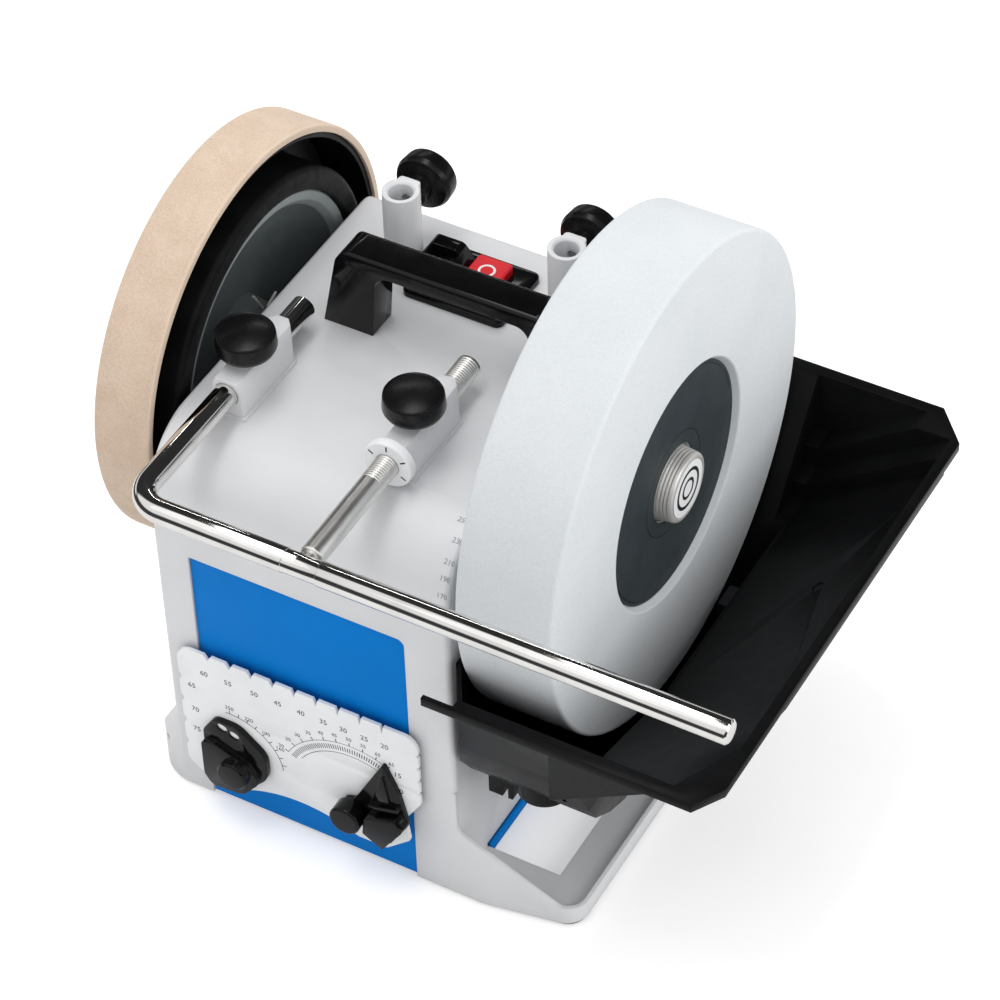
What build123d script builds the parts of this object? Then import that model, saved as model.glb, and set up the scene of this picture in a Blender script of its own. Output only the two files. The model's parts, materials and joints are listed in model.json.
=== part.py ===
from build123d import *
import os
from math import cos, radians, sin

# Driving dimensions in mm. x runs along the grinding shaft from 0 at the stone's
# outer face to minus values at the honing wheel, y from front to back, z up,
# with y = 0 and z = 0 on the shaft's axis.
ORIGIN_SHIFT = (78.0, 12.25, 205.0)

STONE_R = 125.0
STONE_WIDTH = 50.0
LABEL_R = 61.2
HONE_R = 107.5
HONE_LEFT = -255.0
HONE_RIGHT = -224.3
SHAFT_R = 6.0
SHAFT_LEFT = -262.5
SHAFT_RIGHT = 1.5
RUNNING_GAP = 0.05
SEAT_GAP = 0.02

CASE_LEFT = -219.0
CASE_RIGHT = -58.0
CASE_FRONT = -118.0
CASE_REAR = 90.0
CASE_TOP = 29.0
CASE_SEAM = -16.0
CASE_WALL = 4.0
FRONT_CURVE_R = 36.0
REAR_CURVE_R = 8.0
CASE_EDGE_R = 3.0
BASE_BOTTOM = -203.0
BENCH = -205.0
BASE_LEFT = -238.0
BASE_RIGHT = 3.7
FLOOR_TOP = -196.0
FLOOR = 4.0
FOOT_R = 10.0
FOOT_PLUG_R = 4.0
BASE_WALL = 2.2
BASE_BEND_X = -44.0
BASE_TAPER = 8.5
BASE_CORNER_R = 12.0
SKIRT_CORNER_R = 24.0

PANEL_LEFT = -200.0
PANEL_RIGHT = -82.0
PANEL_TOP = -36.0
REAR_PANEL_TOP = -30.0
SHEET = 1.5
PANEL_GAP = 0.5
WINDOW = (-57.5, -17.3, -90.0, 62.0)
STRIP_RIGHT = -56.5

ROD_R = 6.0
ROD_BORE_R = 6.1
FRONT_SLEEVE_X = (-194.0, -104.0)
FRONT_SLEEVE_Z = 42.0
FRONT_SLEEVE_Y = (-82.0, -31.0)
FRONT_KNOB_Y = -63.0
REAR_SLEEVE_X = (-176.0, -86.0)
REAR_SLEEVE_Y = 50.0
REAR_SLEEVE_Z = (5.0, 73.5)
FRONT_BOSS_TOP = 53.2
REAR_KNOB_Z = 63.6
REAR_BOSS_Y = 60.3
REAR_NECK = 6.4
KNOB_GAP = 0.2
KNOB_R = 15.0
KNOB_HEIGHT = 13.6
KNOB_DOME_R = 48.0
KNOB_SOCKET = 10.0
LOCK_SCREW_R = 3.0

BAR_Y = -162.0
BAR_RIGHT = 107.0
LEG_REAR = -12.0
BEND_R = 15.0

HANDLE_LEFT = -189.0
HANDLE_RIGHT = -60.0
HANDLE_TOP = 74.0
HANDLE_ARCH_TOP = 65.5
HANDLE_BOLT_X = (-175.5, -69.0)
HANDLE_BOLT_Y = 5.0

SWITCH = (-165.5, -110.5, 28.0, 69.5)
STOP_BUTTON = (-142.0, -122.5, 47.5, 64.5)
START_BUTTON = (-162.0, -148.0, 41.0, 55.0)
STOP_TOP = 37.5
START_TOP = 32.0
BUTTON_GAP = 0.3
BUTTON_FLOOR = 21.5

DRIVE_RUBBER_R = 87.0
DRIVE_RIM_R = 75.0
CUP_INNER_R = 100.5
CUP_OUTER_R = 103.5
ROLLER_R = 5.5
ROLLER_ANGLE = 15.0
ROLLER_REACH = DRIVE_RUBBER_R + ROLLER_R + SEAT_GAP
ROLLER_Y = ROLLER_REACH * sin(radians(ROLLER_ANGLE))
ROLLER_Z = -ROLLER_REACH * cos(radians(ROLLER_ANGLE))
MOTOR_R = 48.0
ROTOR_R = 27.0
HINGE_Y = -62.0
HINGE_Z = -150.0
HINGE_R = 4.0

GLAND_AT = (-185.0, -176.0)

TROUGH_RIM = -38.0
TROUGH_BOTTOM = -146.0
TROUGH_LEFT = -55.0
TROUGH_RIGHT = 86.5
TROUGH_WALL = 2.5
LIP_FRONT = -143.5
LIP_REAR = 143.5
LIP_RIGHT = 89.0
LIP_HEIGHT = 5.0
TROUGH_TRAVEL = 30.0
WELL_EDGE = 15.5
WELL_FRONT = ((-129.0, -78.0), (-121.0, -99.0), (-108.0, -119.0), (-88.0, -136.0))
TROUGH_FRONT = -139.0
CORNER = (-42.0, -117.0)
SHELF_START = 5.0
SHELF_LOW = -101.0
SHELF_SLOPE = 0.704
SHELF_STEPS = ((0.0, 113.0), (11.0, 127.0), (24.0, 140.0))
HOOK_Y = (-80.0, 60.0)
HOOK_Z = (-86.0, -70.0)

GAUGE_BACK = -120.5
GAUGE_FRONT = -122.5
GAUGE_LEFT = -210.0
GAUGE_RIGHT = -75.0
GAUGE_TOP = -96.5
DIAL_AT = (-182.0, -161.0)
POINTER_AT = (-112.0, -162.0)


def block(x0, x1, y0, y1, z0, z1):
    """A box between two opposite corners."""
    middle = Pos((x0 + x1) / 2, (y0 + y1) / 2, (z0 + z1) / 2)
    return middle * Box(x1 - x0, y1 - y0, z1 - z0)


def rod_x(radius, x0, x1, y=0.0, z=0.0):
    """A round bar along x."""
    return Pos((x0 + x1) / 2, y, z) * Rot(0, 90, 0) * Cylinder(radius, x1 - x0)


def rod_y(radius, y0, y1, x, z):
    """A round bar along y."""
    return Pos(x, (y0 + y1) / 2, z) * Rot(90, 0, 0) * Cylinder(radius, y1 - y0)


def rod_z(radius, z0, z1, x, y):
    """A round bar along z."""
    return Pos(x, y, (z0 + z1) / 2) * Cylinder(radius, z1 - z0)


def outline(points, radii=0.0):
    """A flat face with its corners rounded to the given radii."""
    return make_face(FilletPolyline(*points, radius=radii, close=True))


def prism_x(face, x0, x1):
    """A face drawn in (y, z), drawn out along x."""
    return extrude(Plane.YZ.offset(x0) * face, amount=x1 - x0)


def prism_y(face, y0, y1):
    """A face drawn in (x, z), drawn out along y."""
    return extrude(Plane.XZ.offset(-y1) * face, amount=y1 - y0)


def prism_z(face, z0, z1):
    """A face drawn in (x, y), drawn out along z."""
    return extrude(Plane.XY.offset(z0) * face, amount=z1 - z0)


def turned(points, radii=0.0):
    """A solid of revolution about the shaft's axis, its profile in (x, radius)."""
    return revolve(outline(points, radii), Axis.X)


def ring_x(outer, inner, x0, x1):
    """A plain ring about the shaft's axis."""
    return turned([(x0, inner), (x1, inner), (x1, outer), (x0, outer)])


def rectangle(x0, x1, y0, y1, radii=0.0):
    """A rectangle with rounded corners, its radii starting at (x0, y0)."""
    return outline([(x0, y0), (x1, y0), (x1, y1), (x0, y1)], radii)


def casing_pillars(z0, z1):
    """The four inner corner posts that the casing screws go through."""
    inside = (CASE_LEFT + CASE_WALL, CASE_RIGHT - CASE_WALL - 12,
              CASE_FRONT + CASE_WALL, CASE_REAR - CASE_WALL - 12)
    posts = Part()
    for x in inside[:2]:
        for y in inside[2:]:
            posts += block(x, x + 12, y, y + 12, z0, z1)
    return posts


def casing_screw_places():
    """The axes of the four casing screws."""
    xs = (CASE_LEFT + CASE_WALL + 6, CASE_RIGHT - CASE_WALL - 6)
    ys = (CASE_FRONT + CASE_WALL + 6, CASE_REAR - CASE_WALL - 6)
    return [(x, y) for x in xs for y in ys]


def front_sleeve(x):
    """A squared sleeve block for a leg of the tool support, with its plinth."""
    y0, y1 = FRONT_SLEEVE_Y
    section = outline([(x - 8.2, 25), (x + 8.2, 25), (x + 8.2, 44.6), (x + 6, 49.6),
                       (x - 6, 49.6), (x - 8.2, 44.6)])
    plan = outline([(x - 9, y0), (x + 9, y0), (x + 9, y1 - 7), (x + 3, y1), (x - 3, y1), (x - 9, y1 - 7)])
    foot = outline([(x - 9.8, y0 - 1.4), (x + 9.8, y0 - 1.4), (x + 9.8, y1 - 6), (x + 3, y1 + 1.4),
                    (x - 3, y1 + 1.4), (x - 9.8, y1 - 6)])
    body = prism_y(section, y0, y1) & prism_z(plan, 20, 60)
    return body + prism_z(foot, 27, CASE_TOP + 1.2) + rod_z(6, 45, FRONT_BOSS_TOP, x, FRONT_KNOB_Y)


def rear_sleeve(x):
    """An upright sleeve, round in front and squared behind for its lock screw."""
    tube = rod_z(9.2, *REAR_SLEEVE_Z, x, REAR_SLEEVE_Y)
    flat = prism_z(rectangle(x - 5.8, x + 5.8, REAR_SLEEVE_Y, REAR_BOSS_Y, [0, 0, 2, 2]), *REAR_SLEEVE_Z)
    return tube + flat


def make_cast_top():
    """The cast upper casing with its sleeves and the shaft's bearing bosses."""
    profile = [(CASE_REAR, CASE_SEAM), (CASE_REAR, CASE_TOP), (CASE_FRONT, CASE_TOP), (CASE_FRONT, CASE_SEAM)]
    body = prism_x(outline(profile, [0, REAR_CURVE_R, FRONT_CURVE_R, 0]), CASE_LEFT, CASE_RIGHT)
    for side in (CASE_LEFT, CASE_RIGHT):
        rim = body.edges().filter_by_position(Axis.X, side - 0.01, side + 0.01)
        body = fillet([edge for edge in rim if edge.center().Z > CASE_SEAM + 0.01], CASE_EDGE_R)
    w = CASE_WALL
    hollow = [(CASE_REAR - w, CASE_SEAM - 1), (CASE_REAR - w, CASE_TOP - w),
              (CASE_FRONT + w, CASE_TOP - w), (CASE_FRONT + w, CASE_SEAM - 1)]
    body -= prism_x(outline(hollow, [0, w, FRONT_CURVE_R - w, 0]), CASE_LEFT + w, CASE_RIGHT - w)
    shell = prism_x(outline(profile, [0, REAR_CURVE_R, FRONT_CURVE_R, 0]), CASE_LEFT + 1, CASE_RIGHT - 1)
    body += casing_pillars(CASE_SEAM, 0) & shell
    body += rod_x(14, CASE_LEFT + w - 1, CASE_LEFT + 16) + rod_x(14, CASE_RIGHT - 16, CASE_RIGHT - w + 1)
    for x in FRONT_SLEEVE_X:
        body += front_sleeve(x)
    for x in REAR_SLEEVE_X:
        body += rear_sleeve(x)
    for x in FRONT_SLEEVE_X:
        body -= rod_y(ROD_BORE_R, FRONT_SLEEVE_Y[0] - 5, FRONT_SLEEVE_Y[1] + 5, x, FRONT_SLEEVE_Z)
        body -= rod_z(LOCK_SCREW_R + RUNNING_GAP, FRONT_SLEEVE_Z, FRONT_BOSS_TOP + 1, x, FRONT_KNOB_Y)
    for x in REAR_SLEEVE_X:
        body -= rod_z(ROD_BORE_R, REAR_SLEEVE_Z[0] - 1, REAR_SLEEVE_Z[1] + 1, x, REAR_SLEEVE_Y)
        body -= Pos(x, REAR_SLEEVE_Y, REAR_SLEEVE_Z[1] - 0.5) * Cone(ROD_BORE_R, ROD_BORE_R + 1, 1)
        body -= rod_y(LOCK_SCREW_R + RUNNING_GAP, REAR_SLEEVE_Y, REAR_BOSS_Y + 1, x, REAR_KNOB_Z)
    body -= rod_x(10 + SEAT_GAP, CASE_LEFT - 1, CASE_LEFT + 17)
    body -= rod_x(10 + SEAT_GAP, CASE_RIGHT - 17, CASE_RIGHT + 1)
    for x in HANDLE_BOLT_X:
        body -= rod_z(3.1, 20, 31, x, HANDLE_BOLT_Y)
    body -= block(SWITCH[0] + 1.5, SWITCH[1] - 5, SWITCH[2] + 6, SWITCH[3] - 3, 20, 31)
    for x, y in casing_screw_places():
        body -= rod_z(2.6, CASE_SEAM - 1, -1, x, y)
    return body


def skirt(inset):
    """The flared left foot of the cabinet, or its hollow when it is set in."""
    section = outline([(-217, -154 - inset), (-219, -156 - inset), (-233 + inset * 0.8, -175 - inset * 0.4),
                       (BASE_LEFT + inset, -185), (BASE_LEFT + inset, BASE_BOTTOM - inset),
                       (-217, BASE_BOTTOM - inset)])
    plan = rectangle(BASE_LEFT + inset, -180, CASE_FRONT + inset, CASE_REAR - inset,
                     [SKIRT_CORNER_R - inset, 0, 0, SKIRT_CORNER_R - inset])
    return prism_y(section, CASE_FRONT - 5, CASE_REAR + 5) & prism_z(plan, -210, -140)


def base_plan(inset):
    """The outline of the base beside the cabinet, below the stone."""
    front, rear, right = CASE_FRONT + inset, CASE_REAR - inset, BASE_RIGHT - inset
    r = BASE_CORNER_R - inset
    return outline([(-66, front), (BASE_BEND_X, front), (right, front + BASE_TAPER), (right, rear - BASE_TAPER),
                    (BASE_BEND_X, rear), (-66, rear)], [0, 40, r, r, 40, 0])


def make_cabinet():
    """The lower casing, cast in one with its base, gussets and flared foot."""
    w = CASE_WALL
    body = prism_z(rectangle(CASE_LEFT, CASE_RIGHT, CASE_FRONT, CASE_REAR, CASE_EDGE_R),
                   BASE_BOTTOM, CASE_SEAM)
    body -= prism_z(rectangle(CASE_LEFT + w, CASE_RIGHT - w, CASE_FRONT + w, CASE_REAR - w, 2),
                    BASE_BOTTOM - 1, CASE_SEAM + 1)
    body += casing_pillars(-60, CASE_SEAM)
    slope = FilletPolyline((-58, -130), (-58, -157), (-42.5, -164.6), (-7, -192), (8, -193), radius=[6, 30, 8])
    under = Polyline((8, -193), (8, -206), (-66, -206), (-66, -130), (-58, -130))
    gusset = make_face(Wire([*slope.edges(), *under.edges()]))
    wall = prism_z(base_plan(0), BASE_BOTTOM, -120) - prism_z(base_plan(BASE_WALL), BASE_BOTTOM - 1, -119)
    wall &= prism_y(gusset, CASE_FRONT - 1, CASE_REAR + 1)
    floor = prism_z(base_plan(0), FLOOR_TOP - FLOOR, FLOOR_TOP) & block(-60, 20, -150, 150, -210, -190)
    body += wall + floor
    body += skirt(0) - skirt(w)
    for x, y in foot_places()[:2]:
        body += rod_z(FOOT_R, BASE_BOTTOM, FLOOR_TOP - 1, x, y)
    for x, y in foot_places()[2:]:
        body += rod_z(FOOT_R + 1, BASE_BOTTOM, BASE_BOTTOM + 12, x, y)
    x0, x1, y0, y1 = WINDOW
    body -= block(x0, x1, y0, y1, BASE_BOTTOM - 1, FLOOR_TOP + 1)
    body -= block(CASE_RIGHT - w - 1, x0 + 1, y0, y1, BASE_BOTTOM - 1, FLOOR_TOP + 1.5)
    front = rectangle(PANEL_LEFT, PANEL_RIGHT, BASE_BOTTOM - 1, PANEL_TOP, [0, 0, 4, 1.5])
    body -= prism_y(front, CASE_FRONT - 1, CASE_FRONT + w + 1)
    rear = rectangle(PANEL_LEFT, PANEL_RIGHT, BASE_BOTTOM - 1, REAR_PANEL_TOP, [0, 0, 9, 9])
    body -= prism_y(rear, CASE_REAR - w - 1, CASE_REAR + 1)
    for x, y in foot_places():
        body -= rod_z(FOOT_PLUG_R + SEAT_GAP, BASE_BOTTOM - 1, BASE_BOTTOM + 5, x, y)
    for x, y in casing_screw_places():
        body -= rod_z(2.6, -61, CASE_SEAM + 1, x, y)
    body -= rod_x(9, CASE_LEFT - 1, CASE_LEFT + w + 1, ROLLER_Y, ROLLER_Z)
    body -= rod_x(HINGE_R + SEAT_GAP, CASE_LEFT - 1, CASE_RIGHT + 1, HINGE_Y, HINGE_Z)
    for y in HOOK_Y:
        slot_end = HOOK_Z[0] - TROUGH_TRAVEL
        body -= block(CASE_RIGHT - w - 1, CASE_RIGHT + 1, y - 4.5, y + 4.5, slot_end, HOOK_Z[1])
        body -= block(CASE_RIGHT - w - 1, CASE_RIGHT + 1, y - 10, y + 10, HOOK_Z[1], HOOK_Z[1] + 22)
    body -= rod_y(1.6, CASE_FRONT - 5, CASE_FRONT + 30, -228, -181)
    return body


def panel_tray(y_outer, y_inner, top, radii):
    """A pressed field of the sheet that fills an opening of the cabinet."""
    away = 1 if y_inner > y_outer else -1
    field = rectangle(PANEL_LEFT + PANEL_GAP, PANEL_RIGHT - PANEL_GAP,
                      BASE_BOTTOM + 1, top - PANEL_GAP, radii)
    rim = rectangle(PANEL_LEFT - 2.5, PANEL_RIGHT + 3.5, BASE_BOTTOM + 1, top + 4)
    pocket = rectangle(PANEL_LEFT + 2, PANEL_RIGHT - 2, BASE_BOTTOM, top - 2)
    rim_face = y_inner - away * SHEET
    tray = prism_y(field, min(y_outer, y_inner), max(y_outer, y_inner))
    tray += prism_y(rim, min(rim_face, y_inner), max(rim_face, y_inner))
    floor_face = y_outer + away * SHEET
    return tray - prism_y(pocket, min(floor_face, y_inner + away), max(floor_face, y_inner + away))


def make_blue_wrap():
    """One sheet folded up the front, under the motor and up the back."""
    inner_front = CASE_FRONT + CASE_WALL + SHEET + 0.1
    inner_rear = CASE_REAR - CASE_WALL - SHEET - 0.1
    wrap = panel_tray(CASE_FRONT + 1, inner_front, PANEL_TOP, [0, 0, 3.5, 1])
    wrap += panel_tray(CASE_REAR - 1, inner_rear, REAR_PANEL_TOP, [0, 0, 8.5, 8.5])
    z0 = BASE_BOTTOM + 1
    wrap += block(-212, -64, inner_front - SHEET, inner_rear + SHEET, z0, z0 + SHEET)
    wrap += block(PANEL_LEFT + PANEL_GAP, PANEL_RIGHT - PANEL_GAP,
                  CASE_FRONT + 1, CASE_REAR - 1, z0, z0 + SHEET)
    strip_front, strip_rear = WINDOW[2] + 1, WINDOW[3] - 1
    wrap += block(-65, STRIP_RIGHT, strip_front, strip_rear, z0, z0 + SHEET)
    wrap += block(STRIP_RIGHT - SHEET, STRIP_RIGHT, strip_front, strip_rear, z0, FLOOR_TOP + 1)
    return wrap - rod_y(6.05, CASE_REAR - 10, CASE_REAR + 1, *GLAND_AT)


def make_cable_gland():
    """The inlet for the mains lead, low on the back."""
    x, z = GLAND_AT
    flange = rod_y(9, CASE_REAR - 1, CASE_REAR + 2.5, x, z)
    barrel = rod_y(6, CASE_REAR - 9, CASE_REAR - 1, x, z)
    return flange + barrel - rod_y(3.5, CASE_REAR - 5, CASE_REAR + 3, x, z)


def foot_places():
    """The four feet: two below the stone, two below the honing wheel."""
    return [(-7, -100.5), (-7, 72.5), (-224, -94), (-224, 66)]


def make_rubber_feet():
    """Four rubber feet with plugs that push into the base."""
    feet = []
    for x, y in foot_places():
        profile = outline([(0, BENCH), (FOOT_R - 1, BENCH), (FOOT_R, BENCH + 1), (FOOT_R, BASE_BOTTOM),
                           (0, BASE_BOTTOM)])
        pad = revolve(Plane.XZ * profile, Axis.Z)
        feet.append(Pos(x, y, 0) * pad + rod_z(FOOT_PLUG_R, BASE_BOTTOM, BASE_BOTTOM + 4.5, x, y))
    return feet


def make_casing_screws():
    """Four screws that hold the cast top on the cabinet."""
    return [rod_z(2.5, -62, -2, x, y) + rod_z(4.5, -64, -60, x, y) for x, y in casing_screw_places()]


def make_carry_handle():
    """The moulded carrying handle, leaning back and arched below."""
    x0, x1 = HANDLE_LEFT, HANDLE_RIGHT
    side = outline([(x0, CASE_TOP), (x0 + 8, HANDLE_TOP), (x1 - 9, HANDLE_TOP), (x1, CASE_TOP)], [0, 10, 9, 0])
    arch = outline([(x0 + 27, CASE_TOP - 1), (x0 + 28.5, HANDLE_ARCH_TOP), (x1 - 18, HANDLE_ARCH_TOP),
                    (x1 - 17, CASE_TOP - 1)], [0, 8, 8, 0])
    section = outline([(-4, CASE_TOP), (13.5, CASE_TOP), (17.3, HANDLE_TOP), (-1.5, HANDLE_TOP)],
                      [0, 0, 2.5, 2.5])
    body = prism_y(side, -12, 22) - prism_y(arch, -13, 23)
    body &= prism_x(section, x0 - 5, x1 + 5)
    for x in HANDLE_BOLT_X:
        body -= rod_z(3 + SEAT_GAP, CASE_TOP - 1, 45, x, HANDLE_BOLT_Y)
    return body


def make_handle_bolts():
    """Two bolts that hold the handle from inside the casing."""
    head_top = CASE_TOP - CASE_WALL
    return [rod_z(3, head_top - 1, 44, x, HANDLE_BOLT_Y) + rod_z(5, head_top - 4, head_top, x, HANDLE_BOLT_Y)
            for x in HANDLE_BOLT_X]


def make_switch_housing():
    """The switch: a bezel with a hood over the start button, and its body below."""
    x0, x1, y0, y1 = SWITCH
    bezel = prism_z(rectangle(x0, x1, y0, y1, 4), CASE_TOP, CASE_TOP + 4)
    bezel = chamfer(bezel.edges().group_by(Axis.Z)[-1], 1)
    hood = outline([(x0 + 0.3, CASE_TOP + 3), (x0 + 0.8, 42.5), (x0 + 16.5, 42.5), (x0 + 24.5, CASE_TOP + 3)],
                   [0, 2.5, 4, 0])
    body = bezel + prism_y(hood, y0 + 8, y1 - 7)
    body += block(x0 + 2, x1 - 5.5, y0 + 6.5, y1 - 3.5, 0, CASE_TOP + 1)
    for a, b, c, d in (STOP_BUTTON, START_BUTTON):
        body -= block(a, b, c, d, BUTTON_FLOOR, 50)
    return body


def make_button(place, top):
    """A rounded push button that stands in its well."""
    x0, x1, y0, y1 = place
    g = BUTTON_GAP
    cap = prism_z(rectangle(x0 + g, x1 - g, y0 + g, y1 - g, 2), BUTTON_FLOOR + 3.5, top)
    return fillet(cap.edges().group_by(Axis.Z)[-1], 1.2)


def make_bush(inner_x, outer_x):
    """A flanged plain bearing for the main shaft."""
    out = 1 if outer_x > inner_x else -1
    bore = SHAFT_R + RUNNING_GAP
    points = [(inner_x, bore), (outer_x + out * 1.8, bore), (outer_x + out * 1.8, 13), (outer_x, 13),
              (outer_x, 10), (inner_x, 10)]
    return turned(points)


def make_main_shaft():
    """The stainless main shaft with chamfered ends."""
    r = SHAFT_R
    return turned([(SHAFT_LEFT, 0), (SHAFT_RIGHT, 0), (SHAFT_RIGHT, r - 1), (SHAFT_RIGHT - 1, r),
                   (SHAFT_LEFT + 1, r), (SHAFT_LEFT, r - 1)])


def make_stone():
    """The grinding stone with a shallow recess for its label and one for the nut."""
    left = -STONE_WIDTH
    return turned([(left, SHAFT_R + 0.3), (-10.3, SHAFT_R + 0.3), (-10.3, 19.8), (-4.3, 19.8),
                   (-4.3, LABEL_R + 0.3), (0, LABEL_R + 2), (0, STONE_R - 1.5), (-1.5, STONE_R),
                   (left + 1.5, STONE_R), (left, STONE_R - 1.5)])


def make_stone_inner_flange():
    """The collar that the stone is clamped against."""
    bore = SHAFT_R + SEAT_GAP
    left = -STONE_WIDTH
    return turned([(left - 5.9, bore), (left, bore), (left, 30), (left - 2, 30), (left - 3.5, 15),
                   (left - 5.9, 15)])


def make_stone_nut():
    """The round nut on the shaft's end, closed outside and turned by hand."""
    bore = SHAFT_R + RUNNING_GAP
    return turned([(-8.2, bore), (2, bore), (2, 0), (4.5, 0), (4.5, 15.8), (3.2, 17.5), (-4.5, 17.5),
                   (-5, 18.8), (-8.2, 18.8)])


def make_drive_wheel():
    """The dished wheel that carries the rubber drive ring."""
    bore = SHAFT_R + SEAT_GAP
    rim = DRIVE_RIM_R
    front = Polyline((-251, bore), (-222.3, bore), (-222.3, 13), (-224, 14.5), (-241, 17))
    dish = ThreePointArc((-241, 17), (-238.5, 44), (-228, 66))
    lip = Polyline((-228, 66), (-224.5, 69.5), (-223.5, rim - 1), (-224.5, rim),
                   (-249.5, rim), (-249.5, 71), (-232.5, 66))
    back = ThreePointArc((-232.5, 66), (-242, 44), (-245, 22))
    hub = Polyline((-245, 22), (-251, 22), (-251, bore))
    profile = make_face(Wire([*front.edges(), *dish.edges(), *lip.edges(), *back.edges(), *hub.edges()]))
    wheel = revolve(profile, Axis.X)
    slot = prism_x(SlotOverall(11, 4), -260, -215)
    for turn in range(3):
        wheel -= Rot(120 * turn + 28, 0, 0) * Pos(0, 0, 58) * slot
    return wheel


def make_drive_rubber():
    """The rubber ring that the motor's roller drives."""
    inner = DRIVE_RIM_R + SEAT_GAP
    outer = DRIVE_RUBBER_R
    return turned([(-249.5, inner), (-221.6, inner), (-221.6, outer), (-249.5, outer)], [0, 2, 3, 2])


def make_hone_cup():
    """The honing wheel's cup: a ribbed web outside and a rim for the leather."""
    bore = SHAFT_R + SEAT_GAP
    x0 = HONE_LEFT
    cup = turned([(x0, bore), (x0 + 4, bore), (x0 + 4, CUP_INNER_R), (x0 + 29, CUP_INNER_R),
                  (x0 + 29, CUP_OUTER_R), (x0, CUP_OUTER_R), (x0, 96), (x0 + 1.8, 94), (x0 + 1.8, 32),
                  (x0, 30)])
    rib = block(x0, x0 + 2, -2, 2, 31, 95)
    for turn in range(6):
        cup += Rot(60 * turn, 0, 0) * rib
    return cup


def make_leather_tread():
    """The leather band on the honing wheel."""
    inner = CUP_OUTER_R + SEAT_GAP
    return turned([(HONE_LEFT, inner), (HONE_RIGHT, inner), (HONE_RIGHT, HONE_R), (HONE_LEFT, HONE_R)],
                  [0, 0, 1, 1])


def make_hone_knob():
    """The scalloped knob that holds the honing wheel."""
    x0 = -263.0
    x1 = HONE_LEFT - 0.1
    knob = turned([(x0, 0), (x0, 17), (x0 + 1.5, 18.5), (x1, 18.5), (x1, SHAFT_R + RUNNING_GAP),
                   (x0 + 0.3, SHAFT_R + RUNNING_GAP), (x0 + 0.3, 0)])
    for turn in range(8):
        knob -= Rot(45 * turn, 0, 0) * rod_x(4, x0 - 1, x1 + 1, 0, 21)
    return knob


def at_roller(shape):
    """Sets a piece drawn about the shaft's axis on the motor's axis."""
    return Pos(0, ROLLER_Y, ROLLER_Z) * shape


def make_motor_stator():
    """The motor's laminated core."""
    return at_roller(ring_x(MOTOR_R, ROTOR_R + 0.5, -190, -120))


def make_motor_windings():
    """The two rings of winding heads, one at each end of the core."""
    heads = []
    for x0, x1 in ((-202, -190), (-120, -108)):
        head = turned([(x0, 29), (x1, 29), (x1, 44), (x0, 44)], 2.5)
        heads.append(at_roller(head))
    return heads


def make_motor_bell(inner_x, outer_x):
    """An end bell with the seat of a bearing in its hub."""
    out = 1 if outer_x > inner_x else -1
    hub_in = outer_x - out * 10
    face_in = outer_x - out * 3
    seat_end = outer_x - out * 2
    points = [(inner_x, 46), (face_in, 46), (face_in, 14), (hub_in, 14), (hub_in, 9 + SEAT_GAP),
              (seat_end, 9 + SEAT_GAP), (seat_end, 7), (outer_x, 7), (outer_x, 47), (face_in, 50),
              (inner_x, 50)]
    bell = turned(points)
    vent = rod_x(5, min(inner_x, outer_x) - 1, max(inner_x, outer_x) + 1, 0, 30)
    for turn in range(6):
        bell -= Rot(60 * turn, 0, 0) * vent
    return at_roller(bell)


def make_motor_bearings():
    """The rotor's two bearings."""
    return [at_roller(ring_x(9, ROLLER_R + RUNNING_GAP, x, x + 7)) for x in (-206, -111)]


def make_motor_bracket():
    """The swinging cradle: two straps round the core, arms to the hinge rod and a spring seat."""
    cradle = Part()
    arm = outline([(ROLLER_Y - 40, ROLLER_Z - 34), (ROLLER_Y - 10, ROLLER_Z - 50.5),
                   (HINGE_Y + 4, HINGE_Z - 8), (HINGE_Y - 4, HINGE_Z + 8)])
    for x in (-182, -136):
        strap = at_roller(ring_x(52, MOTOR_R + SEAT_GAP, x, x + 8))
        lever = prism_x(arm, x, x + 8) - at_roller(rod_x(50, x - 1, x + 9))
        cradle += strap + lever + rod_x(9, x, x + 8, HINGE_Y, HINGE_Z)
    cradle += block(-182, -128, ROLLER_Y - 14, ROLLER_Y + 14, ROLLER_Z - 54, ROLLER_Z - 50.2)
    return cradle - rod_x(HINGE_R + RUNNING_GAP, -190, -120, HINGE_Y, HINGE_Z)


def make_motor_spring():
    """The spring that pushes the cradle up, as a plain sleeve of its outer shape."""
    z0 = BASE_BOTTOM + 1 + SHEET
    z1 = ROLLER_Z - 54
    return rod_z(11, z0, z1, -155, ROLLER_Y) - rod_z(8, z0 - 1, z1 + 1, -155, ROLLER_Y)


def make_motor_shaft():
    """The motor's shaft, whose free end is the drive roller."""
    return at_roller(rod_x(ROLLER_R, -248, -88))


def make_rotor_core():
    """The rotor on the motor's shaft."""
    return at_roller(ring_x(ROTOR_R, ROLLER_R + SEAT_GAP, -188, -122))


def make_cooling_fan():
    """The fan behind the motor: a hub, a disc and straight blades."""
    fan = ring_x(40, ROLLER_R + SEAT_GAP, -98, -96) + ring_x(12, ROLLER_R + SEAT_GAP, -98, -89)
    for turn in range(9):
        fan += Rot(40 * turn, 0, 0) * block(-97, -90, -0.8, 0.8, 11, 39.5)
    return at_roller(fan)


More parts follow.
